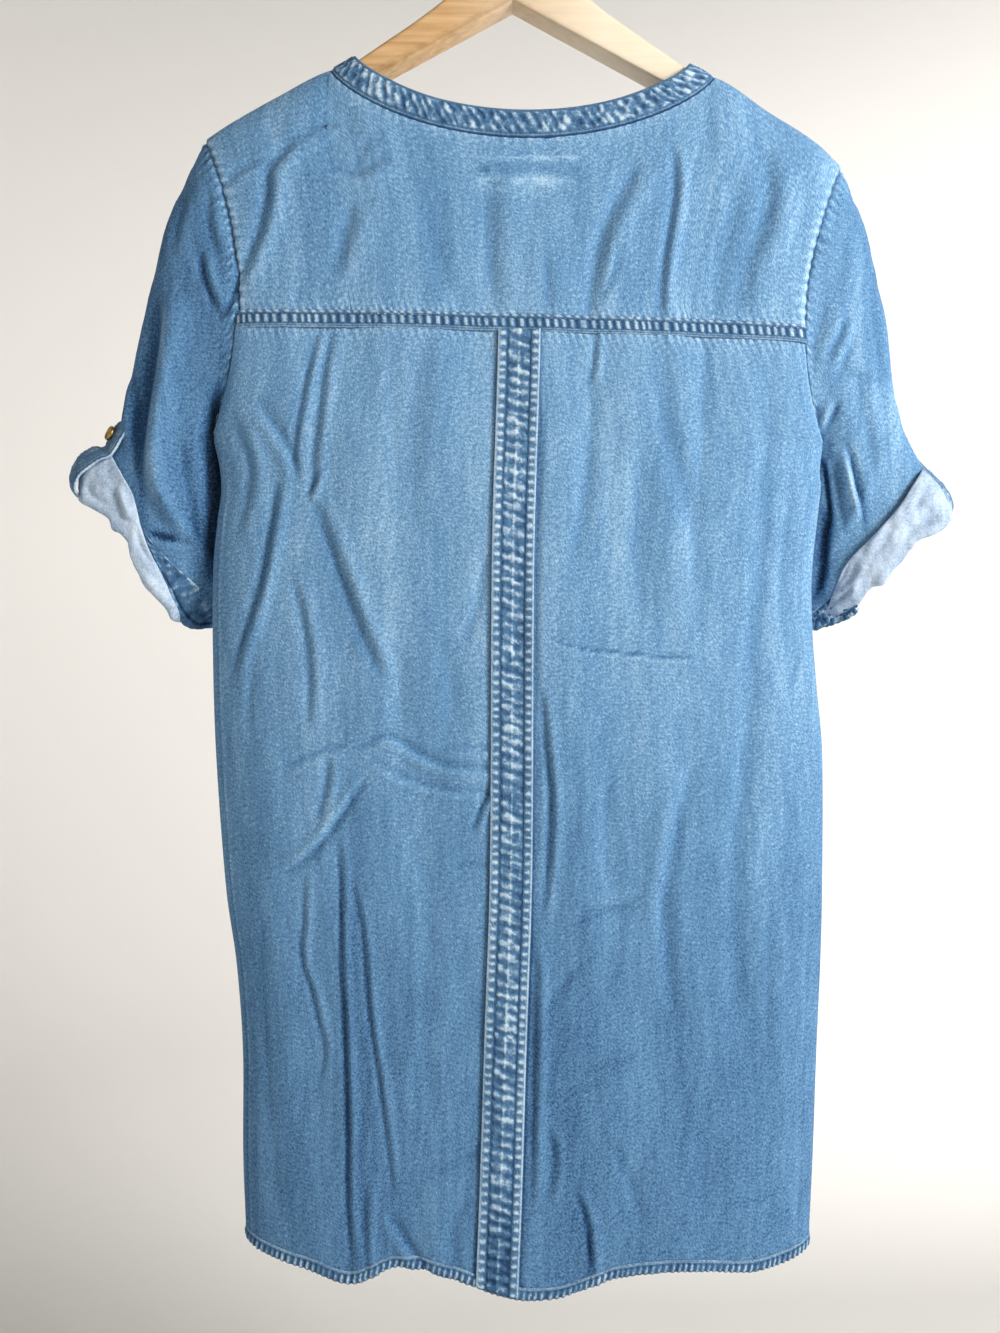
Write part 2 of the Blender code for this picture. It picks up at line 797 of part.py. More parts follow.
def make_hook(steel, parts):
    route = hook_route()
    curve = bpy.data.curves.new("hanger_hook", "CURVE")
    curve.dimensions = "3D"
    curve.bevel_depth = HOOK_WIRE_RADIUS
    curve.bevel_resolution = 2
    curve.use_fill_caps = True
    spline = curve.splines.new("POLY")
    spline.points.add(len(route) - 1)
    for point, place in zip(spline.points, route):
        point.co = (*place, 1)
    add_object("hanger_hook", curve, steel, parts)


def main():
    for old in list(bpy.data.objects):
        bpy.data.objects.remove(old)
    parts = new_collection("shift_dress")
    denim = new_material("denim", (0.14, 0.33, 0.52), 0.85)
    denim_band = new_material("denim_band", (0.1, 0.26, 0.45), 0.85)
    denim_inside = new_material("denim_inside", (0.55, 0.62, 0.7), 0.9)
    brass = new_material("brass", (0.55, 0.36, 0.1), 0.35, 1.0)
    wood = new_material("hanger_wood", (0.8, 0.58, 0.34), 0.5)
    steel = new_material("hook_steel", (0.6, 0.6, 0.6), 0.3, 1.0)
    make_body(denim, denim_band, parts)
    make_neckband(denim_band, parts)
    for side, name in ((-1, "left"), (1, "right")):
        make_sleeve(side, name, denim, denim_inside, parts)
        tab, route = make_tab(side, name, denim_band, parts)
        make_button(side, name, route, brass, parts)
    make_cuff_hems(denim_band, parts)
    make_hanger_wood(wood, parts)
    make_hook(steel, parts)


main()
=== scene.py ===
# Denim shift dress with rolled sleeves on a wooden hanger, seen from behind.
# The garment's back faces -Y. Shapes are worked out in millimetres and written in metres.

import math

import bmesh
import bpy
import numpy as np
from mathutils import Matrix, Vector


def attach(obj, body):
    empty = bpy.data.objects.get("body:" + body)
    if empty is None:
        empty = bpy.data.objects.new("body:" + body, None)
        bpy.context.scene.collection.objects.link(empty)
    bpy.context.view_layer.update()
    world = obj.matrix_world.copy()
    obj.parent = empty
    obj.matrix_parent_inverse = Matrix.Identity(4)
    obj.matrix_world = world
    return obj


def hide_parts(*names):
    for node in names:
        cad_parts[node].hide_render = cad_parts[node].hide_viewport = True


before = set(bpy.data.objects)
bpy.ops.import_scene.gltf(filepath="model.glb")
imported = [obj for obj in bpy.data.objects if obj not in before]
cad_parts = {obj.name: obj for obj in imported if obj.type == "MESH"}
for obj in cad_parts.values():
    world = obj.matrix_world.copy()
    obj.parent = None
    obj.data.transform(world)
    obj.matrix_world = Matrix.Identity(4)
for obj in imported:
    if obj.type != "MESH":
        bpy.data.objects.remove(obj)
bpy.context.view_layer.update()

mm = 0.001
back = -1
front = 1
cameraSet = {"place": (-12.0, -731.0, -581.0), "verticalAngle": 66.0, "clipStart": 0.05}

# the garment's plain form, as its solids have it: (x, z) or (height, value) in millimetres
form = {
    "tips": {-1: (-221, -209.5), 1: (230, -229)},
    "pits": {-1: (-216.5, -417), 1: (218, -424)},
    "shoulders": [(-221, -209.5), (-205, -198.5), (-169, -178), (-131, -159), (0, -128),
                  (139, -164.2), (177.5, -189), (210, -210), (230, -229)],
    "sideSeams": {
        -1: [(-417, -216.5), (-440, -211), (-458, -209.8), (-476, -212), (-510, -215.2),
             (-560, -215.7), (-640, -213.5), (-740, -206), (-790, -198.8), (-850, -194.3),
             (-930, -193.8), (-1000, -190.5)],
        1: [(-424, 218), (-442, 215), (-454, 215.8), (-468, 214.2), (-487, 211.8),
            (-507, 209.8), (-527, 208.8), (-560, 209.8), (-600, 213), (-640, 216.5),
            (-740, 216.5), (-790, 215.2), (-850, 212.5), (-930, 209.5), (-1000, 206)],
    },
    "centre": [(-150, 3), (-350, 1.2), (-505, -3.2), (-720, -4.6), (-834, -8.3),
               (-942, -11.7), (-1012, -14.5)],
    "depths": [(-120, 24), (-220, 28), (-350, 33), (-450, 35), (-800, 33), (-1012, 37)],
    "backHem": [(-1, -982), (-0.85, -989), (-0.7, -994), (-0.565, -999.5), (-0.395, -988.5),
                (-0.175, -993.5), (0.055, -1007.5), (0.2, -1007.5), (0.36, -995.5),
                (0.555, -992.5), (0.8, -996), (1, -988)],
    "armholeInset": 25.5,
    "armholeDepth": 24,
    "frontDepth": 0.95,
    "ridgePower": 2.6,
    "sectionPower": 2.4,
    "neckEdge": 0.6,
    "frontYokeDrop": 22,
    "neckScoop": {-1: (56, 0.65), 1: (68, 0.6)},
    "yokeSeam": (-347.5, -5.3),
    "frontHem": (-982, -988),
    "frontHemSag": 14,
    "foldSeed": {-1: 11, 1: 61},
}

# each ring: along, outer x, outer z, inner x, inner z, inner y, half depth, bow
sleeveRings = {
    -1: [(0.25, -248, -266, -209, -438, 8, 25, 0), (0.5, -262, -325, -205, -471, 13, 24, 2),
         (0.75, -277, -388, -204, -505, 16, 22, 6), (0.88, -286, -417, -203, -529, 18, 21, 9),
         (1.0, -301, -445, -202, -549, 22, 20, 10)],
    1: [(0.25, 247, -275, 211, -445, 9, 25, 0), (0.5, 259, -327, 208, -475, 14, 24, 1),
        (0.75, 267.5, -385, 208, -509, 17, 22, 3), (0.88, 278, -414, 206, -531, 19, 21, 4),
        (1.0, 296, -448, 206, -549, 21, 20, 4)],
}


# curves and noise


def curveThrough(knots, values, where):
    # smooth curve through the values at the knots, level past both ends
    knots = np.asarray(knots, float)
    values = np.asarray(values, float)
    where = np.clip(where, knots[0], knots[-1])
    last = len(knots) - 2
    i = np.clip(np.searchsorted(knots, where) - 1, 0, last)
    step = knots[i + 1] - knots[i]
    t = (where - knots[i]) / step
    spare = (1,) * (values.ndim - 1)
    t = t.reshape(t.shape + spare)
    step = step.reshape(step.shape + spare)

    def slope(k):
        low = np.clip(k - 1, 0, None)
        high = np.clip(k + 1, None, last + 1)
        gap = (knots[high] - knots[low]).reshape(step.shape)
        return (values[high] - values[low]) / gap * step

    return (
        values[i] * (2 * t ** 3 - 3 * t ** 2 + 1)
        + slope(i) * (t ** 3 - 2 * t ** 2 + t)
        + values[i + 1] * (3 * t ** 2 - 2 * t ** 3)
        + slope(i + 1) * (t ** 3 - t ** 2)
    )


def readTable(table, where):
    knots, values = zip(*table)
    return curveThrough(knots, values, where)


def runAlong(points):
    # the length from the first point to each point
    steps = np.linalg.norm(np.diff(points, axis=0), axis=1)
    return np.concatenate([[0], np.cumsum(steps)])


def readHeight(table, z):
    return readTable([(-height, value) for height, value in table], -z)


def rounded(share, power):
    return (1 - (1 - np.clip(share, 0, 1)) ** power) ** (1 / power)


def mix(first, second, share):
    return first + (second - first) * share


def bell(apart, width):
    return np.exp(-((apart / width) ** 2))


def smoothStep(low, high, value):
    t = np.clip((value - low) / (high - low), 0, 1)
    return t * t * (3 - 2 * t)


def softNoise(u, v, cell, seed):
    # smooth noise from -1 to 1 whose bumps are about one cell wide
    grid = np.random.default_rng(seed).uniform(-1, 1, (64, 64))
    a = np.asarray(u, float) / cell
    b = np.asarray(v, float) / cell
    i = np.floor(a).astype(int)
    j = np.floor(b).astype(int)
    s = a - i
    t = b - j
    s = s * s * s * (s * (s * 6 - 15) + 10)
    t = t * t * t * (t * (t * 6 - 15) + 10)
    low = mix(grid[j % 64, i % 64], grid[j % 64, (i + 1) % 64], s)
    high = mix(grid[(j + 1) % 64, i % 64], grid[(j + 1) % 64, (i + 1) % 64], s)
    return mix(low, high, t)


def ripples(along, pitch, seed):
    # uneven puckers from -1 to 1 along a seam
    sway = softNoise(along, 0 * along + seed, pitch * 2.5, seed) * 0.35
    return np.sin(2 * np.pi * (along / pitch + sway))


def comeAndGo(u, seed):
    # how strong a seam's ripples are along it
    return 0.6 + 0.6 * np.clip(0.5 + softNoise(u, 0 * u, 14, seed), 0, 1)


# the body's plain form


def armholeShare(side, z):
    tip = form["tips"][side][1]
    pit = form["pits"][side][1]
    return np.clip((tip - z) / (tip - pit), 0, 1)


def edgeX(side, z):
    share = armholeShare(side, z)
    bend = np.clip(np.sin(np.pi * share ** 1.1), 0, None) ** 0.7
    armhole = mix(form["tips"][side][0], form["pits"][side][0], share)
    armhole = armhole - side * form["armholeInset"] * bend
    return np.where(z < form["pits"][side][1], readHeight(form["sideSeams"][side], z), armhole)


def centreX(z):
    return readHeight(form["centre"], z)


def bodyX(across, z):
    width = np.where(across < 0, centreX(z) - edgeX(-1, z), edgeX(1, z) - centreX(z))
    return centreX(z) + across * width


def shoulderZ(across):
    middle = centreX(np.array(form["shoulders"][0][1], float))
    tip = np.where(across < 0, form["tips"][-1][0], form["tips"][1][0])
    return readTable(form["shoulders"], mix(middle, tip, np.abs(across)))


def edgeDepth(side, z):
    return form["armholeDepth"] * rounded(2 - 2 * armholeShare(side, z), 2)


def halfDepth(across, z, face):
    middle = readHeight(form["depths"], z) * (form["frontDepth"] if face > 0 else 1)
    rightShare = (across + 1) / 2
    edge = mix(edgeDepth(-1, z), edgeDepth(1, z), rightShare)
    full = edge + (middle - edge) * rounded(1 - np.abs(across), form["sectionPower"])
    tall = mix(form["tips"][-1][1] - form["pits"][-1][1],
               form["tips"][1][1] - form["pits"][1][1], rightShare)
    return full * rounded((shoulderZ(across) - z) / (tall / 2), form["ridgePower"])


def bodyPoint(across, z, face):
    across, z = np.broadcast_arrays(np.asarray(across, float), np.asarray(z, float))
    return np.stack([bodyX(across, z), face * halfDepth(across, z, face), z], -1)


def yokeSeamZ(across):
    middle, tilt = form["yokeSeam"]
    return middle + tilt * across


def neckZ(across, face):
    edge = form["neckEdge"]
    corner = mix(shoulderZ(np.array(-edge)), shoulderZ(np.array(edge)), (across / edge + 1) / 2)
    deep, power = form["neckScoop"][face]
    drop = form["frontYokeDrop"] if face > 0 else 0
    return corner - drop - deep * np.clip(1 - (across / edge) ** 2, 0, None) ** power


def backHemZ(across):
    return readTable(form["backHem"], across)


def frontHemZ(across):
    return mix(*form["frontHem"], (across + 1) / 2) - form["frontHemSag"] * (1 - across ** 2)


# the sleeves' plain form


def sleevePoint(side, along, angle):
    # along: 0 at the armhole, 1 at the cuff's fold; angle: 0 at the outer edge, then the back
    share = (1 - np.cos(angle)) / 2
    z = mix(form["tips"][side][1], form["pits"][side][1], share)
    face = np.where(np.sin(angle) >= 0, back, front)
    depth = np.where(face < 0, *(halfDepth(side + 0 * z, z, way) for way in (back, front)))
    start = np.stack([edgeX(side, z) + side * 0.4, face * depth, z + 0.4 * share], -1)
    knots = [0.0]
    points = [start]
    for ring in sleeveRings[side]:
        outer = np.array([ring[1], 0, ring[2]], float)
        inner = np.array([ring[3], ring[5], ring[4]], float)
        out = (outer - inner) / 2
        toCuff = -np.array([out[2] * -side, 0, out[0] * side])
        toCuff /= np.linalg.norm(toCuff)
        swell = np.sin(angle)[:, None]
        ringPoint = (outer + inner) / 2 + out * np.cos(angle)[:, None]
        ringPoint = ringPoint + np.array([0, -ring[6], 0]) * swell + toCuff * ring[7] * swell ** 2
        knots.append(ring[0])
        points.append(ringPoint)
    return curveThrough(knots, np.array(points), np.asarray(along, float))


# creases listed one by one: width, depth, side of the raised lip, then the line down the cloth

backCreases = [
    # left panel, from under the yoke
    (3.2, 1.8, 1, (-135, -345), (-146, -389), (-153, -429), (-153, -448), (-147, -458)),
    (3.6, 1.7, 1, (-125, -345), (-132, -376), (-136, -410), (-140, -440), (-140, -462)),
    (3.0, 2.6, 1, (-137, -446), (-140, -456), (-145, -466)),
    (4.2, 1.9, -1, (-180, -395), (-164, -420), (-155, -436), (-149, -452)),
    (5.0, 2.4, 1, (-142, -462), (-132, -488), (-119, -523), (-101, -570), (-88, -596)),
    (4.0, 3.6, 1, (-164, -446), (-169, -480), (-177, -523), (-190, -562), (-201, -596)),
    (5.0, 2.0, 1, (-199, -398), (-193, -420), (-185, -443), (-188, -468), (-198, -498)),
    (4.5, 1.8, 1, (-156, -514), (-150, -539), (-145, -562), (-143, -596), (-147, -630)),
    (4.0, 1.0, 0, (-178, -560), (-186, -610), (-184, -640)),
    # the creases level across the left panel
    (3.2, 1.5, -1, (-162, -651), (-144, -643), (-127, -637), (-114, -636)),
    (3.4, 2.0, -1, (-118, -640), (-104, -634), (-92, -628), (-84, -629), (-70, -638),
     (-51, -647), (-12, -651)),
    (3.0, 1.3, -1, (-104, -642), (-90, -650), (-76, -657), (-51, -664), (-12, -666)),
    (3.0, 0.9, -1, (-60, -640), (-45, -637), (-14, -636)),
    (3.2, 2.6, -1, (-102, -656), (-114, -674), (-123, -687), (-134, -702), (-141, -710),
     (-162, -727)),
    (3.6, 1.6, 1, (-129, -640), (-132, -665), (-138, -688)),
    (2.6, 2.2, 1, (-14, -652), (-18, -664), (-24, -676), (-32, -695)),
    (2.4, 0.8, 0, (-46, -720), (-32, -716), (-14, -717)),
    # long folds down to the hem on the left
    (2.8, 2.5, 1, (-125, -685), (-122, -712), (-121, -738), (-121, -780), (-119, -820),
     (-117, -862), (-116, -905), (-116, -944), (-113, -985), (-112, -1004)),
    (2.6, 1.7, 1, (-116, -720), (-110, -740), (-107, -754), (-103, -796), (-100, -828),
     (-94, -865), (-89, -904), (-84, -950)),
    (2.8, 1.5, 1, (-147, -715), (-147, -753), (-149, -771), (-148, -787), (-142, -804),
     (-138, -821), (-133, -845), (-138, -875)),
    (3.0, 1.2, 1, (-103, -930), (-104, -964), (-102, -1000)),
    (4.0, 2.0, -1, (-88, -950), (-74, -974), (-58, -996)),
    (6.0, 1.2, 0, (-12, -904), (-43, -919), (-72, -933)),
    (6.0, 1.4, 0, (-30, -940), (-44, -960), (-40, -1000)),
    # soft drops on the left of the strip
    (9.0, 1.4, 0, (-62, -345), (-70, -400), (-72, -450), (-68, -500)),
    (8.0, 1.2, 0, (-86, -350), (-85, -414), (-81, -468), (-79, -525)),
    (5.0, 1.3, 0, (-20, -500), (-29, -543), (-40, -570)),
    (7.0, 1.4, 0, (-50, -560), (-46, -600), (-48, -640)),
    (7.0, 1.2, 0, (-86, -560), (-80, -600), (-84, -632)),
    (5.0, 1.0, 0, (-176, -740), (-178, -800), (-172, -880), (-170, -960)),
    (9.0, 1.4, 0, (-66, -690), (-60, -760), (-62, -840), (-56, -900)),
    # right panel
    (2.6, 1.7, 1, (53, -350), (52, -370), (48, -392)),
    (7.5, 2.0, 0, (50, -372), (50, -420), (45, -470), (36, -520)),
    (9.0, 2.0, 0, (98, -350), (101, -414), (117, -468), (124, -520), (122, -570)),
    (7.0, 1.6, 0, (128, -348), (127, -420), (122, -490)),
    (1.5, 1.5, -1, (14, -557), (29, -565), (45, -569), (63, -571), (84, -573), (107, -575),
     (128, -574)),
    (3.0, 2.2, 1, (16, -590), (19, -630), (21, -651), (22.5, -668), (21.5, -706), (19, -735),
     (14, -760)),
    (3.0, 2.0, 1, (13, -768), (12.5, -804), (11.5, -848), (10.5, -893), (9, -960)),
    (6.5, 2.4, -1, (126, -643), (118, -658), (112, -682), (106, -715), (101, -740),
     (103, -780), (106, -825)),
    (5.0, 1.6, -1, (86, -739), (73, -745), (59, -748), (46, -752), (28, -765)),
    (4.0, 1.3, -1, (44, -780), (31, -799), (16, -822)),
    (3.2, 1.6, 1, (20, -894), (25, -912), (24, -928), (19, -948)),
    (2.6, 2.0, 1, (39, -936), (45, -950), (48, -968), (49, -1004)),
    (2.6, 1.4, -1, (51, -955), (49, -974), (54, -1000)),
    (4.0, 1.0, 0, (27, -877), (39, -870), (62, -864)),
    (3.6, 0.9, 0, (36, -860), (56, -854), (82, -848)),
    (3.4, 0.8, -1, (136, -953), (154, -951), (171, -947), (190, -941)),
    (9.0, 2.4, 0, (170, -350), (173, -434), (168, -509), (162, -577), (158, -644), (151, -712),
     (150, -790), (154, -850)),
    (7.0, 1.6, 0, (189, -440), (185, -509), (181, -570)),
    (2.6, 1.3, 1, (198, -572), (192, -587), (188, -602)),
    (9.0, 1.4, 0, (84, -420), (82, -500), (86, -560)),
    (9.0, 1.5, 0, (136, -840), (130, -900), (126, -960)),
    (8.0, 1.2, 0, (66, -640), (60, -690), (62, -730)),
    (4.0, 1.0, 0, (176, -740), (174, -800), (172, -860)),
    (5.0, 0.9, 0, (60, -900), (76, -930), (88, -970)),
]

backFolds = [
    (30, 0.30, (-124, -700), (-121, -760), (-119, -820), (-117, -900), (-117, -960),
     (-115, -1012)),
    (14, 0.22, (-161, -452), (-167, -480), (-175, -523), (-188, -562), (-199, -600)),
    (-12, 0.20, (-140, -466), (-131, -490), (-118, -525), (-100, -572), (-86, -600)),
    (-12, 0.22, (46, -930), (49, -962), (50, -1004)),
    (26, 0.14, (12, -600), (17, -680), (14, -760), (11, -850), (9, -960)),
]

yokeCreases = [
    (3.6, 2.2, 1, (106, -218), (108, -251), (106, -267), (103, -285), (100, -302), (98, -319),
     (97, -350)),
    (7.0, 2.6, 1, (84, -232), (71, -258), (61, -278), (54, -302), (51, -319), (46, -350)),
    (3.0, 1.5, 0, (70, -290), (66, -312), (56, -332)),
    (8.0, 2.2, 1, (168, -220), (173, -252), (168, -280), (157, -304), (150, -345)),
    (8.0, 1.5, 0, (148, -236), (147, -274), (138, -310), (136, -345)),
    (5.0, 1.0, 1, (-122, -206), (-142, -212), (-158, -223), (-168, -234)),
    (5.5, 3.0, 1, (-150, -216), (-158, -223), (-171, -238), (-172, -254), (-175, -272),
     (-180, -288), (-188, -306), (-196, -322)),
    (4.5, 1.5, -1, (-206, -251), (-196, -241), (-184, -235), (-172, -233)),
    (5.5, 1.8, -1, (-134, -237), (-121, -241), (-109, -242), (-98, -237), (-86, -232)),
    (7.0, 2.0, 1, (-113, -262), (-117, -281), (-121, -298), (-128, -316)),
    (5.0, 1.2, 0, (-92, -214), (-104, -224), (-114, -240)),
    (3.0, 0.8, 0, (-149, -320), (-153, -340)),
    (8.0, 1.7, 1, (-17, -240), (-19, -278), (-19, -305), (-15, -345)),
    (3.0, 0.8, 0, (-63, -320), (-66, -340)),
    (5.0, 1.2, 0, (19, -295), (21, -320), (20, -345)),
    (10.0, 1.6, 0, (-52, -250), (-56, -290), (-50, -330)),
    (2.6, 0.8, 0, (22, -202), (21, -220), (23, -236)),
]

sleeveCreases = {
    -1: [
        (3.4, 2.8, 1, (-220, -292), (-216, -312), (-211, -326), (-206, -338)),
        (3.0, 2.2, -1, (-208, -340), (-201, -336), (-195, -324), (-192, -310)),
        (9.0, 8.5, 1, (-252, -316), (-253, -345), (-258, -378), (-263, -405), (-266, -435),
         (-262, -468), (-256, -500)),
        (4.0, 2.0, -1, (-271, -372), (-269, -400), (-272, -424)),
        (2.0, 3.4, -1, (-256, -489), (-244, -492), (-228, -493)),
        (6.0, 2.4, 0, (-212, -388), (-216, -427), (-215, -462)),
        (5.0, 1.8, 0, (-236, -420), (-230, -460), (-224, -500)),
        (5.0, 1.4, 1, (-228, -240), (-236, -270), (-240, -300)),
        (4.0, 1.6, 1, (-214, -250), (-213, -275), (-206, -300)),
        (6.0, 1.5, 0, (-236, -465), (-228, -482), (-212, -506)),
    ],
    1: [
        (4.0, 1.9, -1, (230, -336), (221, -356), (213, -370)),
        (4.0, 1.7, -1, (238, -344), (228, -367), (220, -386)),
        (3.2, 2.6, -1, (224, -396), (218, -412), (212, -428)),
        (3.0, 1.8, 1, (209, -398), (211, -412), (216, -424)),
        (2.8, 4.2, -1, (224, -418), (230, -427), (234.5, -440), (239, -458), (243.5, -473),
         (246, -492)),
        (4.0, 2.0, 0, (213, -418), (219, -429), (225, -449), (229, -471), (232, -493)),
        (7.0, 1.8, 0, (250, -300), (252, -350), (258, -400), (262, -430)),
        (6.0, 1.4, 0, (236, -380), (244, -410), (250, -450)),
        (4.0, 1.2, 0, (224, -375), (242, -381), (256, -380)),
        (5.0, 1.2, 0, (214, -330), (206, -352), (204, -380)),
    ],
}

# the hollows between each sleeve and the body, painted nearly black as shadow: width, depth, then
# the line down
sleeveHollows = {
    -1: [(5.0, 6.5, (-207, -380), (-210, -398), (-213, -425), (-213, -450), (-215, -485),
          (-217, -524)),
         (1.6, 3.0, (-260, -486.5), (-250, -489.5), (-239, -490.5))],
    1: [(1.6, 5.0, (214, -430), (217, -443), (219, -457), (221, -471), (222, -485)),
        (3.4, 5.0, (219, -466), (219, -482), (218, -500), (216.5, -520), (213, -538))],
}

cuffCreases = {
    -1: [
        (2.6, 1.2, -1, (-303, -452), (-300, -459), (-293, -465), (-286, -466)),
        (3.0, 3.2, 1, (-284, -455), (-280, -463), (-277, -471), (-275, -480)),
        (3.4, 1.6, 0, (-290, -440), (-284, -449), (-275, -458)),
        (3.0, 1.6, 1, (-266, -484), (-262, -498), (-255, -510)),
        (4.0, 1.4, -1, (-256, -514), (-250, -524), (-243, -534)),
    ],
    1: [
        (3.0, 1.2, -1, (287, -452), (283, -462), (276, -474)),
        (3.4, 1.8, 1, (296, -472), (288, -480), (276, -486), (268, -496)),
        (3.6, 1.4, -1, (262, -480), (256, -494), (247, -506)),
        (3.0, 1.5, 1, (240, -508), (236, -518), (229, -530)),
        (2.4, 2.2, -1, (238, -526), (232, -531), (224, -538)),
    ],
}


def distanceTo(x, z, line):
    # distance from each place to a line, positive on its right going down, and the share along
    line = np.asarray(line, float)
    run = runAlong(line)
    fine = np.linspace(0, run[-1], max(len(line) * 3, 6))
    line = curveThrough(run, line, fine)
    nearest = np.full(x.shape, 1e9)
    signed = np.zeros(x.shape)
    share = np.zeros(x.shape)
    for k in range(len(line) - 1):
        start = line[k]
        step = line[k + 1] - start
        dx = x - start[0]
        dz = z - start[1]
        t = np.clip((dx * step[0] + dz * step[1]) / (step @ step), 0, 1)
        apart = np.hypot(dx - t * step[0], dz - t * step[1])
        turn = dx * step[1] - dz * step[0]
        closer = apart < nearest
        nearest = np.where(closer, apart, nearest)
        signed = np.where(closer, np.where(turn < 0, apart, -apart), signed)
        share = np.where(closer, (k + t) / (len(line) - 1), share)
    return signed, share


def layCreases(x, z, creases, strength=1.0):
    # how far the creases lift the cloth, with painted shade in their troughs and paler ridges,
    # partly wash wear and partly painted highlight
    rise = np.zeros(x.shape)
    deep = np.zeros(x.shape)
    worn = np.zeros(x.shape)
    for width, depth, lip, *line in creases:
        spots = np.array(line, float)
        reach = width * 5
        low = spots.min(0) - reach
        high = spots.max(0) + reach
        near = (x > low[0]) & (x < high[0]) & (z > low[1]) & (z < high[1])
        if not near.any():
            continue
        apart, share = distanceTo(x[near], z[near], line)
        taper = np.clip(4 * share * (1 - share), 0, 1) ** 0.6
        taper = taper * smoothStep(0, 0.1, share) * smoothStep(1, 0.9, share)
        trough = bell(apart, 0.8 * width)
        ridge = bell(apart - 1.5 * width * lip, 1.1 * width) * 0.8 * abs(lip)
        rise[near] += (ridge - trough) * depth * taper * strength
        sharp = min(depth / width, 1.2)
        deep[near] += (0.45 * trough + 0.35 * bell(apart, 0.4 * width)) * taper * sharp
        worn[near] += ridge * taper * sharp * 0.36
    return rise, deep, worn


def foldShade(x, z, folds):
    # one side of a fold turned from the light: width of the shade, how dark, the fold's line
    deep = np.zeros(x.shape)
    for width, dark, *line in folds:
        apart, share = distanceTo(x, z, line)
        taper = np.clip(5 * share * (1.02 - share), 0, 1) ** 0.6
        apart = apart * np.sign(width)
        shade = smoothStep(-0.8, 0.8, apart) * smoothStep(1, 0.35, apart / abs(width))
        deep += dark * shade * taper
    return deep


# materials

clothTones = {
    "denim": {"cloth": (0.140, 0.305, 0.515), "pale": (0.47, 0.68, 0.85),
              "dark": (0.028, 0.088, 0.205), "streaks": 0.9, "clouds": 0.46},
    "denimBand": {"cloth": (0.085, 0.195, 0.345), "pale": (0.56, 0.71, 0.82),
                  "dark": (0.018, 0.055, 0.135), "streaks": 0.55, "clouds": 0.4},
    "denimInside": {"cloth": (0.44, 0.56, 0.72), "pale": (0.73, 0.83, 0.92),
                    "dark": (0.17, 0.25, 0.36), "streaks": 0.8, "clouds": 0.6},
}


def put(tree, kind, settings, sockets):
    node = tree.nodes.new(kind)
    for name, value in settings.items():
        setattr(node, name, value)
    for name, value in sockets.items():
        if isinstance(value, bpy.types.NodeSocket):
            tree.links.new(value, node.inputs[name])
        else:
            node.inputs[name].default_value = value
    return node


def calc(tree, operation, first, second, clamp=False):
    settings = {"operation": operation, "use_clamp": clamp}
    return put(tree, "ShaderNodeMath", settings, {0: first, 1: second}).outputs[0]


def blendColour(tree, share, first, second):
    sockets = {0: share, 6: first, 7: second}
    return put(tree, "ShaderNodeMix", {"data_type": "RGBA"}, sockets).outputs[2]


def noise(tree, vector, scale, detail, roughness=0.5):
    sockets = {"Vector": vector, "Scale": scale, "Detail": detail, "Roughness": roughness}
    return put(tree, "ShaderNodeTexNoise", {}, sockets).outputs[0]


def remap(tree, value, low, high, least=0.0, most=1.0):
    sockets = {"Value": value, "From Min": low, "From Max": high, "To Min": least, "To Max": most}
    return put(tree, "ShaderNodeMapRange", {}, sockets).outputs[0]


def objectPlace(tree):
    return put(tree, "ShaderNodeTexCoord", {}, {}).outputs["Object"]


def dress(tree, shader, colour=None, rough=None, bump=None):
    # what drives the shader; bump holds its height, strength and distance
    if colour is not None:
        tree.links.new(colour, shader.inputs["Base Color"])
    if rough is not None:
        tree.links.new(rough, shader.inputs["Roughness"])
    if bump is not None:
        sockets = dict(zip(("Height", "Strength", "Distance"), bump))
        tree.links.new(put(tree, "ShaderNodeBump", {}, sockets).outputs[0],
                       shader.inputs["Normal"])


def newGroup(name, inputs, outputs):
    group = bpy.data.node_groups.new(name, "ShaderNodeTree")
    for label, kind in inputs:
        group.interface.new_socket(label, in_out="INPUT", socket_type="NodeSocket" + kind)
    for label, kind in outputs:
        group.interface.new_socket(label, in_out="OUTPUT", socket_type="NodeSocket" + kind)
    return group, group.nodes.new("NodeGroupInput"), group.nodes.new("NodeGroupOutput")


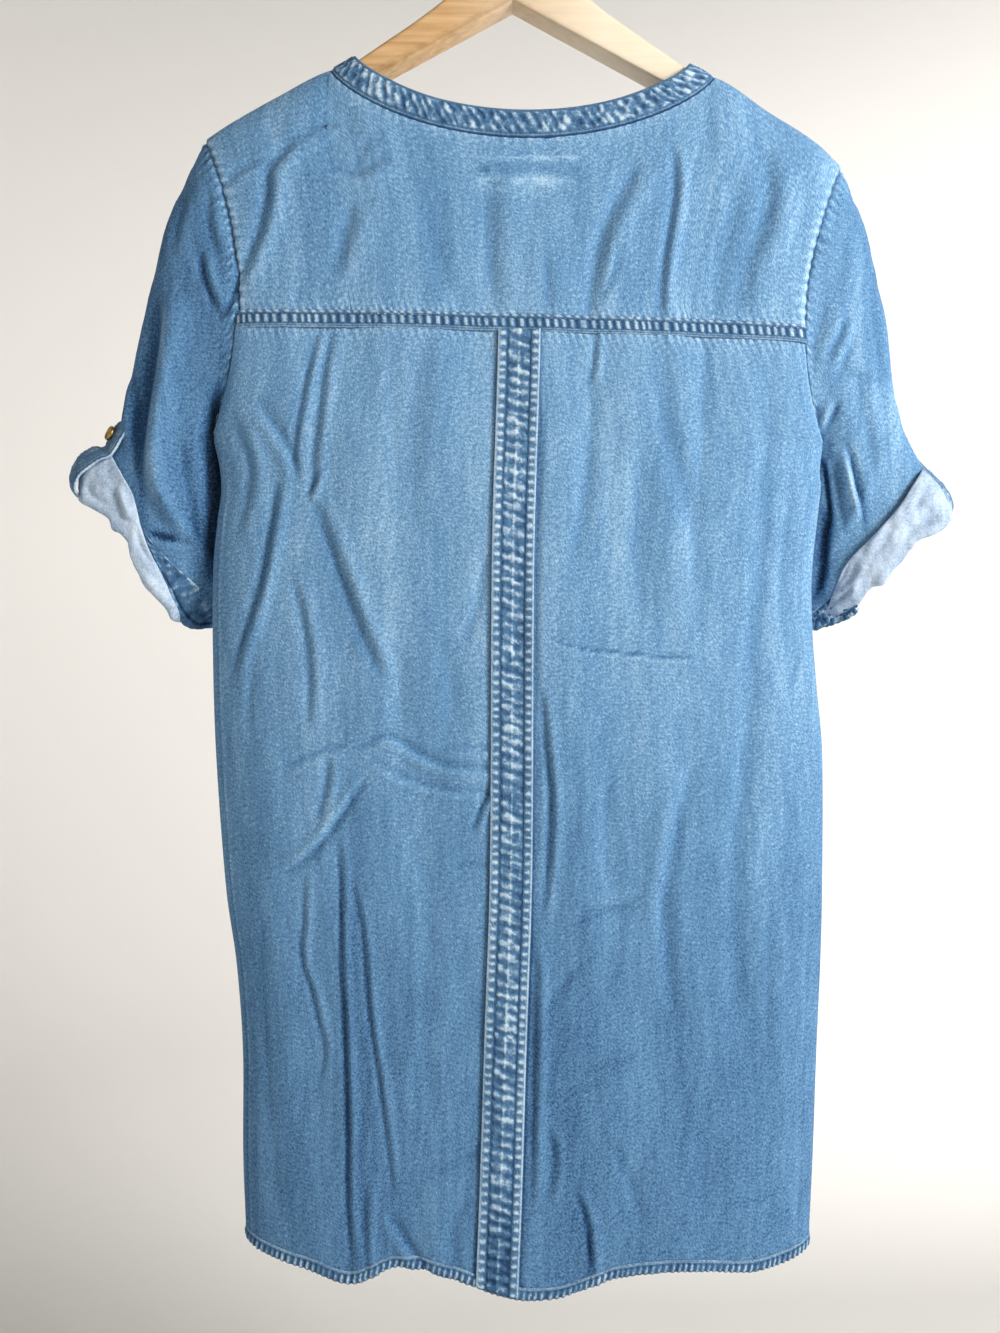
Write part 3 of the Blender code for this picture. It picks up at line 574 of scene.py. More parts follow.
def makeWashedDenim():
    # slanted yarn streaks and cloudy indigo; worn places go pale, deep ones go dark, partly indigo
    # kept in folds and seams and partly painted shade
    colours = [(label, "Color") for label in ("Cloth", "Pale", "Dark")]
    amounts = [(label, "Float") for label in ("Streaks", "Clouds", "Worn", "Deep")]
    group, given, result = newGroup("washedDenim", [("Place", "Vector")] + colours + amounts,
                                    [("Color", "Color"), ("Height", "Float")])
    given = given.outputs

    def add(first, second):
        return calc(group, "ADD", first, second)

    def times(first, second, clamp=False):
        return calc(group, "MULTIPLY", first, second, clamp)

    def laid(scale, kind="POINT", slant=0):
        sockets = {"Vector": given["Place"], "Rotation": (0, 0, math.radians(slant)),
                   "Scale": scale}
        return put(group, "ShaderNodeMapping", {"vector_type": kind}, sockets).outputs[0]

    streak = noise(group, laid((1, 2.0, 1), "TEXTURE", 32), 900, 3, 0.62)
    cross = noise(group, laid((0.3, 1, 1)), 700, 2)
    hanging = laid((1, 0.16, 1))
    cloud = noise(group, hanging, 190, 4, 0.62)
    broad = noise(group, hanging, 30, 4, 0.6)
    lines = times(add(times(add(streak, -0.5), 3.0), add(cross, -0.5)), given["Streaks"])
    mottle = times(add(times(add(cloud, -0.5), 0.8), add(broad, -0.5)), given["Clouds"])
    tone = add(add(lines, times(mottle, 2.3)), given["Worn"])
    tone = calc(group, "SUBTRACT", tone, given["Deep"])
    colour = blendColour(group, times(tone, 1.0, clamp=True), given["Cloth"], given["Pale"])
    colour = blendColour(group, times(tone, -1.0, clamp=True), colour, given["Dark"])
    # painted shadow: past a Deep of 1 the cloth goes nearly black
    paintedShadowShare = calc(group, "SUBTRACT", times(tone, -1.0), 1.0, clamp=True)
    colour = blendColour(group, paintedShadowShare, colour, (0.004, 0.011, 0.024, 1))
    group.links.new(colour, result.inputs["Color"])
    group.links.new(add(streak, times(cross, 0.5)), result.inputs["Height"])
    return group


def newMaterial(name, values):
    material = bpy.data.materials.new(name)
    material.use_nodes = True
    shader = material.node_tree.nodes["Principled BSDF"]
    for label, value in values.items():
        shader.inputs[label].default_value = value
    return material, material.node_tree, shader


def clothMaterial(name, group):
    tones = clothTones[name]
    material, tree, shader = newMaterial(
        name, {"Roughness": 0.9, "Specular IOR Level": 0.14, "Sheen Weight": 0.05,
               "Sheen Roughness": 0.5})
    sockets = {"Place": put(tree, "ShaderNodeUVMap", {"uv_map": "clothMap"}, {}).outputs[0]}
    for label in ("Cloth", "Pale", "Dark"):
        sockets[label] = (*tones[label.lower()], 1)
    for label in ("Streaks", "Clouds"):
        sockets[label] = tones[label.lower()]
    for label in ("Worn", "Deep"):
        mask = put(tree, "ShaderNodeAttribute", {"attribute_name": label.lower()}, {})
        sockets[label] = mask.outputs["Fac"]
    cloth = put(tree, "ShaderNodeGroup", {"node_tree": group}, sockets).outputs
    dress(tree, shader, cloth["Color"], bump=(cloth["Height"], 0.45, 0.0006))
    return material


# making cloth


def sheetNormals(points, closed):
    if closed:
        wide = np.concatenate([points[:, -2:-1], points, points[:, 1:2]], 1)
        aside = (wide[:, 2:] - wide[:, :-2])
    else:
        aside = np.gradient(points, axis=1)
    down = np.gradient(points, axis=0)
    normal = np.cross(aside, down)
    normal /= np.linalg.norm(normal, axis=-1, keepdims=True) + 1e-12
    middle = points.reshape(-1, 3).mean(0)
    middle[1] = 0
    if np.sum(normal * (points - middle)) < 0:
        return -normal, True
    return normal, False


def flatPlaces(points):
    # how far along and down the flat cloth each column and row lies
    row, column = [count // 2 for count in points.shape[:2]]
    return np.meshgrid(runAlong(points[row]), runAlong(points[:, column]))


def roundPlaces(points, angle):
    # a sleeve laid flat: true lengths out from the middle of its back, the way it hangs
    run = np.cumsum(np.linalg.norm(np.diff(points, axis=1, prepend=points[:, :1]), axis=2), axis=1)
    middle = np.abs(angle - np.pi / 2).argmin()
    way = points[:, -1] - points[:, np.abs(angle).argmin()]
    way[:, 1] = 0
    way /= np.linalg.norm(way, axis=1, keepdims=True)
    run = run - run[:, middle:middle + 1]
    return [points[:, middle:middle + 1, k] + way[:, k:k + 1] * run for k in (0, 2)]


# corners nearer than this, in metres, are joined
joinGap = 0.00001


def addObject(name, data):
    thing = bpy.data.objects.new(name, data)
    bpy.context.scene.collection.objects.link(thing)
    return thing


def addMesh(name, bm, material):
    mesh = bpy.data.meshes.new(name)
    bm.to_mesh(mesh)
    bm.free()
    mesh.shade_smooth()
    mesh.materials.append(material)
    return addObject(name, mesh)


def spinProfile(bm, profile, steps, gap=joinGap):
    # turns a line of (radius, height) once round the upright axis
    ring = [bm.verts.new((x, 0, z)) for x, z in profile]
    for first, second in zip(ring, ring[1:]):
        bm.edges.new((first, second))
    bmesh.ops.spin(bm, geom=bm.verts[:] + bm.edges[:], cent=(0, 0, 0), axis=(0, 0, 1),
                   angle=2 * math.pi, steps=steps, use_merge=True)
    bmesh.ops.remove_doubles(bm, verts=bm.verts, dist=gap)
    bmesh.ops.recalc_face_normals(bm, faces=bm.faces)


def clothPiece(name, slot, node, points, wall, materials, worn, deep, turned, closed=False,
               keep=None, flat=None):
    # a sheet of cloth over a grid of points; worn and deep are its masks
    rows, columns = points.shape[:2]
    bm = bmesh.new()
    bmesh.ops.create_grid(bm, x_segments=columns - 1, y_segments=rows - 1, size=1)
    mesh = bpy.data.meshes.new(name)
    bm.to_mesh(mesh)
    bm.free()
    mesh.vertices.foreach_set("co", (points * mm).astype(np.float32).ravel())
    for label, value in (("worn", worn), ("deep", deep)):
        mask = mesh.attributes.new(label, "FLOAT", "POINT")
        value = np.clip(np.broadcast_to(value, (rows, columns)), 0, 2)
        mask.data.foreach_set("value", value.astype(np.float32).ravel())
    if flat is None:
        across, down = flatPlaces(points)
        flat = (across, -down)
    corners = np.zeros(len(mesh.loops), int)
    mesh.loops.foreach_get("vertex_index", corners)
    places = np.stack(flat, -1).reshape(-1, 2) * mm
    uv = mesh.uv_layers.new(name="clothMap")
    uv.data.foreach_set("uv", places[corners].astype(np.float32).ravel())
    bm = bmesh.new()
    bm.from_mesh(mesh)
    if keep is not None:
        bm.faces.ensure_lookup_table()
        spare = [bm.faces[k] for k in np.flatnonzero(~keep.ravel())]
        bmesh.ops.delete(bm, geom=spare, context="FACES")
    if closed:
        bmesh.ops.remove_doubles(bm, verts=bm.verts, dist=joinGap)
    if turned:
        bmesh.ops.reverse_faces(bm, faces=bm.faces)
    bm.to_mesh(mesh)
    bm.free()
    mesh.shade_smooth()
    for material in materials:
        mesh.materials.append(material)
    piece = addObject(name, mesh)
    solid = piece.modifiers.new("wall", "SOLIDIFY")
    solid.thickness = wall * mm
    solid.offset = -1
    if len(materials) > 1:
        solid.material_offset = 1
    return place(piece, slot, node)


def place(piece, slot, node):
    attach(piece, "root")
    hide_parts(node)
    return piece


def lineOn(points, place):
    # a line of the cloth between two of its rows
    low = int(place)
    return mix(points[low], points[low + 1], place - low)


def evenSteps(path, count, crowd=1.0):
    # shares that divide a path (share -> points) into steps of equal length
    share = np.linspace(0, 1, 1200) ** crowd
    run = runAlong(path(share))
    return np.interp(np.linspace(0, run[-1], count + 1), run, share)


def reliefNormal(points, rise, closed=False):
    normal, turned = sheetNormals(points, closed)
    return points + normal * rise[..., None], turned


# the yoke and the panels

yoke = {"cut": (0.46, 0.26), "cutArea": 0.084, "shoulderColumns": 38, "neckColumns": 150,
        "backRows": 88, "frontRows": 12, "wall": 1.1}
panels = {"cut": (0.235, 0.665), "cutArea": 0.14, "columns": 116, "rows": 266, "wall": 1.1,
          "ramp": 0.07, "shadeToHem": 0.40, "seamAt": {-1: 15.0, 1: 22.0}}
frontSet = {"cut": (0.50, 0.85), "cutArea": 0.345, "shoulderColumns": 18, "neckColumns": 76,
            "rows": 204, "wall": 1.1, "foldShare": 0.75, "leastWidth": 4.2,
            "mirror": -0.96, "lower": 14, "apart": 500}
strip = {"cut": (0.034, 0.665), "cutArea": 0.0222, "halfWidth": 15, "columns": 30, "rows": 630,
         "lift": 1.9, "wall": 1.3, "rungs": 6.2, "ribs": 8.0,
         "stitchAt": 7.6, "sewnAt": 8.9}
yokeBand = {"cut": (0.42, 0.0135), "cutArea": 0.0055, "columns": 500, "rows": 16, "top": 6.6,
            "foot": -6.0, "wall": 0.9, "rungs": 5.8, "sewnAt": (3.5, -3.1)}
hem = {"cut": (0.42, 0.0145), "cutArea": 0.006, "columns": 560, "rows": 13, "height": 7.5,
       "wall": 1.3, "rungs": 4.3, "turnsTo": 1.28, "sewnAt": 0.16}


def shoulderAcross(settings):
    edge = form["neckEdge"]
    side = np.linspace(1, edge, settings["shoulderColumns"] + 1)[:-1]
    neck = edge * np.sin(np.linspace(-np.pi / 2, np.pi / 2, settings["neckColumns"] + 1))
    return np.concatenate([-side, neck, side[::-1]])


def drape(x, z, seed):
    # soft hanging folds, small rumples and the cloth's own unevenness
    rise = softNoise(x + 0.06 * z, z * 0.16, 27, seed) * 1.3
    rise = rise + softNoise(x, z * 0.3, 13, seed + 1) * 0.38
    rise = rise + softNoise(x - 0.5 * z, z * 0.8, 7, seed + 2) * 0.12
    return rise + softNoise(x + z * 0.7, z, 3.2, seed + 3) * 0.05


def drapeCreases(x, z, face, creases):
    # the front's folds are much like the back's, the other way round and softer
    if face < 0:
        rise, deep, worn = layCreases(x, z, creases)
        return rise + drape(x, z, form["foldSeed"][back]), deep, worn
    wide = [(max(width, frontSet["leastWidth"]), *rest) for width, *rest in creases]
    rise, deep, worn = layCreases(frontSet["mirror"] * x, z + frontSet["lower"], wide,
                                  frontSet["foldShare"])
    return rise + drape(x + frontSet["apart"], z, form["foldSeed"][front]), deep, worn


def makeYoke(materials):
    across = shoulderAcross(yoke)
    edge = form["neckEdge"]
    onNeck = np.abs(across) < edge - 1e-6
    top = np.where(np.abs(across) >= edge, shoulderZ(across), neckZ(across, back))
    foot = yokeSeamZ(across) + 3.5

    def line(share):
        z = mix(shoulderZ(np.array(0.8)), -347.0, share)
        return bodyPoint(0.8, z, back)

    shares = evenSteps(line, yoke["backRows"], crowd=2.5)
    z = mix(top[None, :], foot[None, :], shares[:, None])
    points = bodyPoint(across[None, :], z, back)
    drops = form["frontYokeDrop"] * np.linspace(1, 0, yoke["frontRows"] + 1)[:-1] ** 2
    over = bodyPoint(across[None, :], top[None, :] - drops[:, None], front)
    lifted = points[:1] + np.array([0, 0, 2.0]) * np.arange(len(drops), 0, -1)[:, None, None]
    over[:, onNeck] = lifted[:, onNeck]
    points = np.concatenate([over, points])
    below = np.concatenate([np.zeros((len(drops), len(across))), top[None, :] - z])
    x, y, z = np.moveaxis(points, -1, 0)
    onBack = y < 0.5
    u = flatPlaces(points)[0]
    rise, deep, worn = layCreases(x, z, yokeCreases)
    hanging = drape(x, z, form["foldSeed"][back]) * smoothStep(0, 30, below + 2)
    rise = np.where(onBack, rise, 0) + hanging
    fromSide = np.minimum(np.abs(x - edgeX(-1, z)), np.abs(x - edgeX(1, z)))
    toBand = z - foot[None, :]
    neckGap = np.where(onNeck[None, :] & onBack, below, 99)
    slant = ripples(u + toBand * 0.45, 5.6, 21) * comeAndGo(u, 24)
    rise += slant * 0.60 * np.exp(-toBand / 6.5) * onBack
    pinch = ripples(u - neckGap * 0.2, 6.5, 22)
    rise += pinch * 0.18 * np.exp(-neckGap / 4.0)
    tuck = ripples(z, 7.5, 23)
    rise += tuck * 0.3 * np.exp(-fromSide / 4.5)
    rise += 0.35 * bell(fromSide - 2.4, 2.0) - 0.5 * bell(fromSide, 0.8)
    rise -= 0.7 * bell(neckGap, 1.2)
    worn += 1.1 * np.exp(-toBand / 5.5) * smoothStep(0.1, 0.9, slant) * onBack
    worn += 0.30 * np.exp(-neckGap / 6.0) + 0.30 * np.exp(-fromSide / sleeve["halo"])
    worn += 0.5 * np.clip(pinch, 0, 1) * np.exp(-neckGap / 5.0)
    worn += 0.8 * bell(fromSide - 1.3, 0.7) + 0.7 * np.clip(tuck, 0, 1) * np.exp(-fromSide / 5)
    worn += 0.12 * np.exp(-toBand / 10)
    deep += 0.7 * np.exp(-toBand / 5.0) * np.clip(-slant, 0, 1) * onBack
    deep += 0.3 * np.clip(-pinch, 0, 1) * np.exp(-neckGap / 4.0)
    deep += 0.5 * bell(fromSide, 0.4) + 0.4 * np.clip(-tuck, 0, 1) * np.exp(-fromSide / 4)
    # a pale, half rubbed patch between the shoulders
    frayed = 0.6 + 0.6 * softNoise(x, z * 1.6, 8, 5)
    inPatch = smoothStep(-30, -24, x) * smoothStep(46, 38, x)
    patch = 0.55 * bell(z + 233, 1.6) + 0.45 * bell(z + 248, 3.4) * smoothStep(42, 20, x)
    patch += 0.5 * bell(x - 4, 26) * bell(z + 254, 5)
    worn += 1.15 * patch * inPatch * frayed * onBack
    deep += 0.45 * bell(z + 241, 3.6) * inPatch * np.clip(1.1 - frayed, 0, 1) * onBack
    # painted shade: the yoke darkens towards its left side
    deep += 0.14 * bell(z + 250, 60) * smoothStep(60, -200, x) * onBack
    points, turned = reliefNormal(points, rise)
    keep = np.ones((points.shape[0] - 1, points.shape[1] - 1), bool)
    keep[:len(drops), onNeck[:-1] | onNeck[1:]] = False
    return clothPiece("yoke", "denim", "back_yoke", points, yoke["wall"], materials, worn, deep,
                      turned, keep=keep)


def makeYokeBand(materials):
    across = np.linspace(-1, 1, yokeBand["columns"] + 1)
    down = np.linspace(0, 1, yokeBand["rows"] + 1)
    v = mix(yokeBand["top"], yokeBand["foot"], down)[:, None]
    points = bodyPoint(across[None, :], yokeSeamZ(across)[None, :] + v, back)
    x, z = points[..., 0], points[..., 2]
    u = flatPlaces(points)[0]
    follow = layCreases(x, z, yokeCreases + backCreases, 0.55)[0]
    v = np.broadcast_to(v, x.shape)
    rung = ripples(u + v * 0.16, yokeBand["rungs"], 31)
    wave = ripples(u + v * 0.5, 6.2, 32)
    ladder = smoothStep(3.6, 2.9, v) * smoothStep(-3.0, -2.4, v)
    upper = bell(v - 5.2, 1.1)
    rise = 1.05 + 0.25 * upper + wave * 0.3 * upper + rung * 0.30 * ladder
    rise = rise - 0.55 * bell(v - 3.5, 0.45) - 0.5 * bell(v + 3.1, 0.4)
    rise = rise - 0.35 * bell(v + 4.7, 0.35)
    rise = rise - 0.8 * smoothStep(-5.2, -6.0, v) - 0.7 * smoothStep(6.0, 6.6, v)
    patchy = 0.75 + 0.25 * softNoise(u, v, 9, 33)
    worn = ladder * smoothStep(0.05, 0.75, rung) * 0.9 * patchy
    worn = worn + upper * (0.45 + 0.5 * wave)
    worn = worn + 0.7 * bell(v + 3.9, 0.45) + 0.6 * bell(v + 5.4, 0.5)
    # painted shade in the stitching grooves and the low line below them
    deep = 0.85 * bell(v - 3.5, 0.5) + 0.8 * bell(v + 3.1, 0.4) + 0.5 * bell(v + 4.7, 0.35)
    deep = deep + ladder * np.clip(-rung, 0, 1) * 0.75 + 0.1
    rise = rise + follow + drape(x, z, form["foldSeed"][back]) * 0.6
    points, turned = reliefNormal(points, rise)
    return clothPiece("yokeSeamBand", "denim_band", "yoke_band", points, yokeBand["wall"],
                      materials, worn, deep, turned), points


def makeBackPanel(side, name, node, materials):
    def section(share):
        return bodyPoint(side * mix(0.005, 1, share), np.full(share.shape, -600.0), back)

    across = side * mix(0.005, 1, evenSteps(section, panels["columns"]))
    top = yokeSeamZ(across) - 3.0
    foot = backHemZ(across) + hem["height"] - 1.5
    shares = np.linspace(0, 1, panels["rows"] + 1)
    z = mix(top[None, :], foot[None, :], shares[:, None])
    points = bodyPoint(across[None, :], z, back)
    x = points[..., 0]
    u, v = flatPlaces(points)
    rise, deep, worn = drapeCreases(x, z, back, backCreases)
    rise *= 1 - np.abs(across[None, :]) ** 10
    edge = u[:, -1:] - u
    below = top[None, :] - z
    above = z - foot[None, :]
    slant = ripples(u * side - below * 0.45, 5.8, 41) * comeAndGo(u, 44)
    rise += slant * 0.42 * np.exp(-below / 6.0)
    worn += 0.9 * np.exp(-below / 7.0) * smoothStep(0.1, 0.9, slant) + 0.12 * np.exp(-below / 9)
    deep += 0.6 * np.exp(-below / 7.0) * np.clip(-slant, 0, 1)
    rope = ripples(u * side + above * 0.3, 8.5, 42)
    rise += rope * 0.3 * np.exp(-above / 6.0)
    # the armhole's edge, then the felled side seam a little way in from the side
    pit = form["pits"][side][1]
    inArmhole = smoothStep(pit - 2, pit + 8, z)
    rise += (0.35 * bell(edge - 2.4, 2.0) - 0.5 * bell(edge, 0.8)) * inArmhole
    worn += (0.40 * np.exp(-edge / sleeve["halo"]) + 0.75 * bell(edge - 1.3, 0.7)) * inArmhole
    deep += 0.5 * bell(edge, 0.4) * inArmhole
    seamAt = panels["seamAt"][side]
    felled = smoothStep(pit - 10, pit - 60, z)
    pucker = ripples(z, 6.5, 43)
    rise += 0.5 * smoothStep(seamAt + 0.6, seamAt - 0.6, edge) * felled * smoothStep(2, 6, edge)
    rise += pucker * 0.16 * bell(edge - seamAt + 3, 4) * felled
    rise -= 0.35 * bell(edge - seamAt + 1.3, 0.6) * felled
    worn += 0.34 * bell(edge - seamAt - 0.3, 1.1) * felled
    worn += 0.15 * bell(edge - seamAt + 4, 2.0) * np.clip(pucker, 0, 1) * felled
    # painted shade in the felled seam's groove
    deep += 0.30 * bell(edge - seamAt + 1.6, 0.9) * felled
    # the cloth dips where it goes under the centre strip, with a painted shadow along the strip's
    # edge and painted shade on the turned side of each listed fold
    inner = np.abs(x - centreX(z))
    under = smoothStep(-385, -430, z) * (side > 0)
    deep += (0.30 + 1.3 * under) * bell(inner - 15.6, 1.0) + foldShade(x, z, backFolds)
    rise -= 1.6 * under * bell(inner - 16.5, 2.0)
    # painted shade: the panels darken towards the hem, the right one a little more from its middle
    # down, and the left one along its outer edge, where the light falls off
    deep += panels["shadeToHem"] * smoothStep(-600, -900, z)
    deep += 0.07 * smoothStep(-580, -680, z) * (side > 0)
    deep += 0.22 * np.exp(-edge / 26) * smoothStep(-300, -420, z) * (side < 0)
    # painted light: both panels paler across their middle height, more on the right
    worn += panels["ramp"] * bell(z + 480, 170) * (0.7 if side > 0 else 0.6)
    worn += 0.08 * np.exp(-np.abs(inner - 18) / 5)
    points, turned = reliefNormal(points, rise)
    return clothPiece(name, "denim", node, points, panels["wall"], materials, worn, deep, turned,
                      flat=(side * (u + 300), -v - 400))


def makeStrip(materials):
    s = np.linspace(-1, 1, strip["columns"] + 1)[None, :] * strip["halfWidth"]
    foot = backHemZ(s / 205) + 0.8
    z = mix(yokeSeamZ(np.array(0.0)) - 4.5, foot, np.linspace(0, 1, strip["rows"] + 1)[:, None])
    width = np.where(s < 0, centreX(z) - edgeX(-1, z), edgeX(1, z) - centreX(z))
    points = bodyPoint(s / width, z, back)
    x, z = points[..., 0], points[..., 2]
    s = s + 0 * z
    run = -z
    out = np.abs(s)
    leftRung = ripples(run, strip["rungs"], 51)
    rightRung = ripples(run + 1.7, strip["rungs"] * 0.97, 52)
    rung = np.where(s < 0, leftRung, rightRung)
    ladder = smoothStep(8.6, 9.2, out) * smoothStep(13.2, 12.6, out)
    middle = smoothStep(7.6, 7.0, out)
    # crumpled, half bleached cloth between the two rows of stitching
    fold = softNoise(s * 0.75 + run * 0.30, run * 1.25 - s * 0.5, 4.2, 53)
    fine = softNoise(s + run * 0.2, run * 1.6 + s * 0.4, 2.3, 54)
    vein = 1 - np.abs(softNoise(s * 0.9 + 40, run * 1.1 - s * 0.6, 4.6, 55)) * 2.6
    rib = ripples(run - s * 0.3 + 1.2 * fold, strip["ribs"], 57)
    crumple = 0.35 * fold + 0.3 * fine + 0.3 * np.clip(vein, 0, 1) + 0.42 * rib
    rise = strip["lift"] + 0.3 * middle + middle * crumple * 0.75 + ladder * (0.25 + 0.4 * rung)
    rise = rise + 0.35 * bell(out - 13.9, 0.6) - 1.1 * smoothStep(14.2, 15, out)
    rise = rise - 0.75 * bell(out - strip["stitchAt"], 0.6) + 0.45 * bell(s, 0.8)
    # the right edge stands off the cloth where the seam is pulled
    loose = bell(run - 560, 75) + 0.7 * bell(run - 660, 60)
    rise = rise + 1.6 * loose * smoothStep(2, 15, s)
    patchy = 0.55 + 0.45 * softNoise(s, run, 30, 56)
    worn = middle * smoothStep(0.08, 0.85, crumple) * (0.55 + 0.45 * patchy)
    worn = worn + ladder * (0.12 + 0.78 * smoothStep(0.3, 0.85, rung))
    worn = worn + 0.85 * bell(out - 13.8, 0.6) + (0.6 + 0.4 * fine) * bell(s, 0.8)
    # painted shade in the stitching grooves and along the strip's turned-down edges
    deep = 0.9 * bell(out - strip["stitchAt"], 0.55) + ladder * np.clip(-rung, 0, 1) * 0.3
    deep = deep + middle * smoothStep(0.1, -0.5, crumple) * 0.6 + 0.8 * smoothStep(14.5, 15, out)
    deep = deep + 0.7 * bell(out - 8.6, 0.4) + 0.5 * smoothStep(-930, -975, z) * middle
    rise = rise + drape(x, z, form["foldSeed"][back])
    points, turned = reliefNormal(points, rise)
    return clothPiece("centreStrip", "denim_band", "back_strip", points, strip["wall"],
                      materials, worn, deep, turned), points


def makeFront(materials):
    across = shoulderAcross(frontSet)
    edge = form["neckEdge"]
    top = np.where(np.abs(across) >= edge, shoulderZ(across) - form["frontYokeDrop"] + 2,
                   neckZ(across, front))
    foot = frontHemZ(across) + hem["height"] - 1.5
    shares = np.linspace(0, 1, frontSet["rows"] + 1)
    z = mix(top[None, :], foot[None, :], shares[:, None])
    points = bodyPoint(across[None, :], z, front)
    x = points[..., 0]
    u, v = flatPlaces(points)
    rise, deep, worn = drapeCreases(x, z, front, backCreases + yokeCreases)
    rise *= 1 - np.abs(across[None, :]) ** 10
    fromSide = np.minimum(np.abs(x - edgeX(-1, z)), np.abs(x - edgeX(1, z)))
    below = top[None, :] - z
    slant = ripples(u - below * 0.4, 6.0, 62)
    inArmhole = smoothStep(-425, -415, z)
    rise += slant * 0.25 * np.exp(-below / 4.0) - 0.5 * bell(fromSide, 0.8) * inArmhole
    worn += 0.3 * np.exp(-below / 5) + 0.3 * np.exp(-fromSide / 5) * inArmhole
    deep += 0.8 * bell(fromSide, 0.5) * inArmhole
    points, turned = reliefNormal(points, rise)
    return clothPiece("frontPanel", "denim", "front_panel", points, frontSet["wall"], materials,
                      worn, deep, turned, flat=(-u + 900, -v))


def makeHem(name, node, face, materials):
    across = np.sin(np.linspace(-np.pi / 2, np.pi / 2, hem["columns"] + 1) * 0.93)
    across = across / across[-1]
    low = backHemZ(across) if face < 0 else frontHemZ(across)
    v = np.linspace(0, hem["turnsTo"], hem["rows"] + 1)[:, None]
    turnUp = np.clip(v - 1, 0, None)
    z = low[None, :] + hem["height"] * (1 - np.clip(v, 0, 1)) + 8 * turnUp
    points = bodyPoint(across[None, :], z, face)
    points[..., 1] += -face * 12 * turnUp
    u = flatPlaces(points)[0]
    follow = drapeCreases(points[..., 0], points[..., 2], face, backCreases)[0]
    follow *= 1 - np.abs(across[None, :]) ** 10
    slant = ripples(u + v * 1.6, hem["rungs"], 71)
    slant = slant * (0.9 + 0.4 * softNoise(u, 0 * u, 7, 73))
    body = smoothStep(0.26, 0.4, v)
    rise = 0.75 + body * (0.45 + 0.45 * slant) - 0.4 * bell(v - 0.3, 0.07)
    rise = rise - 0.6 * smoothStep(0.06, 0.0, v)
    patchy = 0.7 + 0.3 * softNoise(u, v * 4, 10, 72)
    worn = 0.3 * bell(v - 0.2, 0.06) + body * smoothStep(0.05, 0.6, slant) * 1.2 * patchy
    worn = worn * smoothStep(1.3, 0.9, v) + 0.2 * smoothStep(0.3, 0.14, v)
    deep = 0.5 * bell(v - 0.34, 0.08) + body * (0.3 + 0.5 * np.clip(-slant, 0, 1))
    points, turned = reliefNormal(points, (rise + follow) * smoothStep(1.35, 1.0, v))
    return clothPiece(name, "denim_band", node, points, hem["wall"], materials, worn, deep,
                      turned), points


# the neckband

neckband = {"cut": (0.66, 0.0215), "cutArea": 0.0141, "columns": 650, "rows": 24, "width": 20.0,
            "lean": 1.7, "wall": 1.7, "under": 0.8, "sewnAt": (18.6, 2.0)}


def neckLoop():
    edge = form["neckEdge"]
    arc = edge * np.sin(np.linspace(-np.pi / 2, np.pi / 2, 400))
    drops = form["frontYokeDrop"] * np.linspace(0, 1, 40) ** 2
    loop = [
        bodyPoint(arc, neckZ(arc, back), back),
        bodyPoint(edge, shoulderZ(np.array(edge)) - drops, front)[1:],
        bodyPoint(arc, neckZ(arc, front), front)[::-1][1:],
        bodyPoint(-edge, shoulderZ(np.array(-edge)) - drops, front)[::-1][1:],
    ]
    loop = np.concatenate(loop)
    run = runAlong(loop)
    even = np.linspace(0, run[-1], neckband["columns"] + 1)
    loop = np.stack([np.interp(even, run, loop[:, k]) for k in range(3)], -1)
    for _ in range(6):
        ring = loop[:-1]
        ring = (np.roll(ring, 1, 0) + ring * 2 + np.roll(ring, -1, 0)) / 4
        loop = np.concatenate([ring, ring[:1]])
    return loop


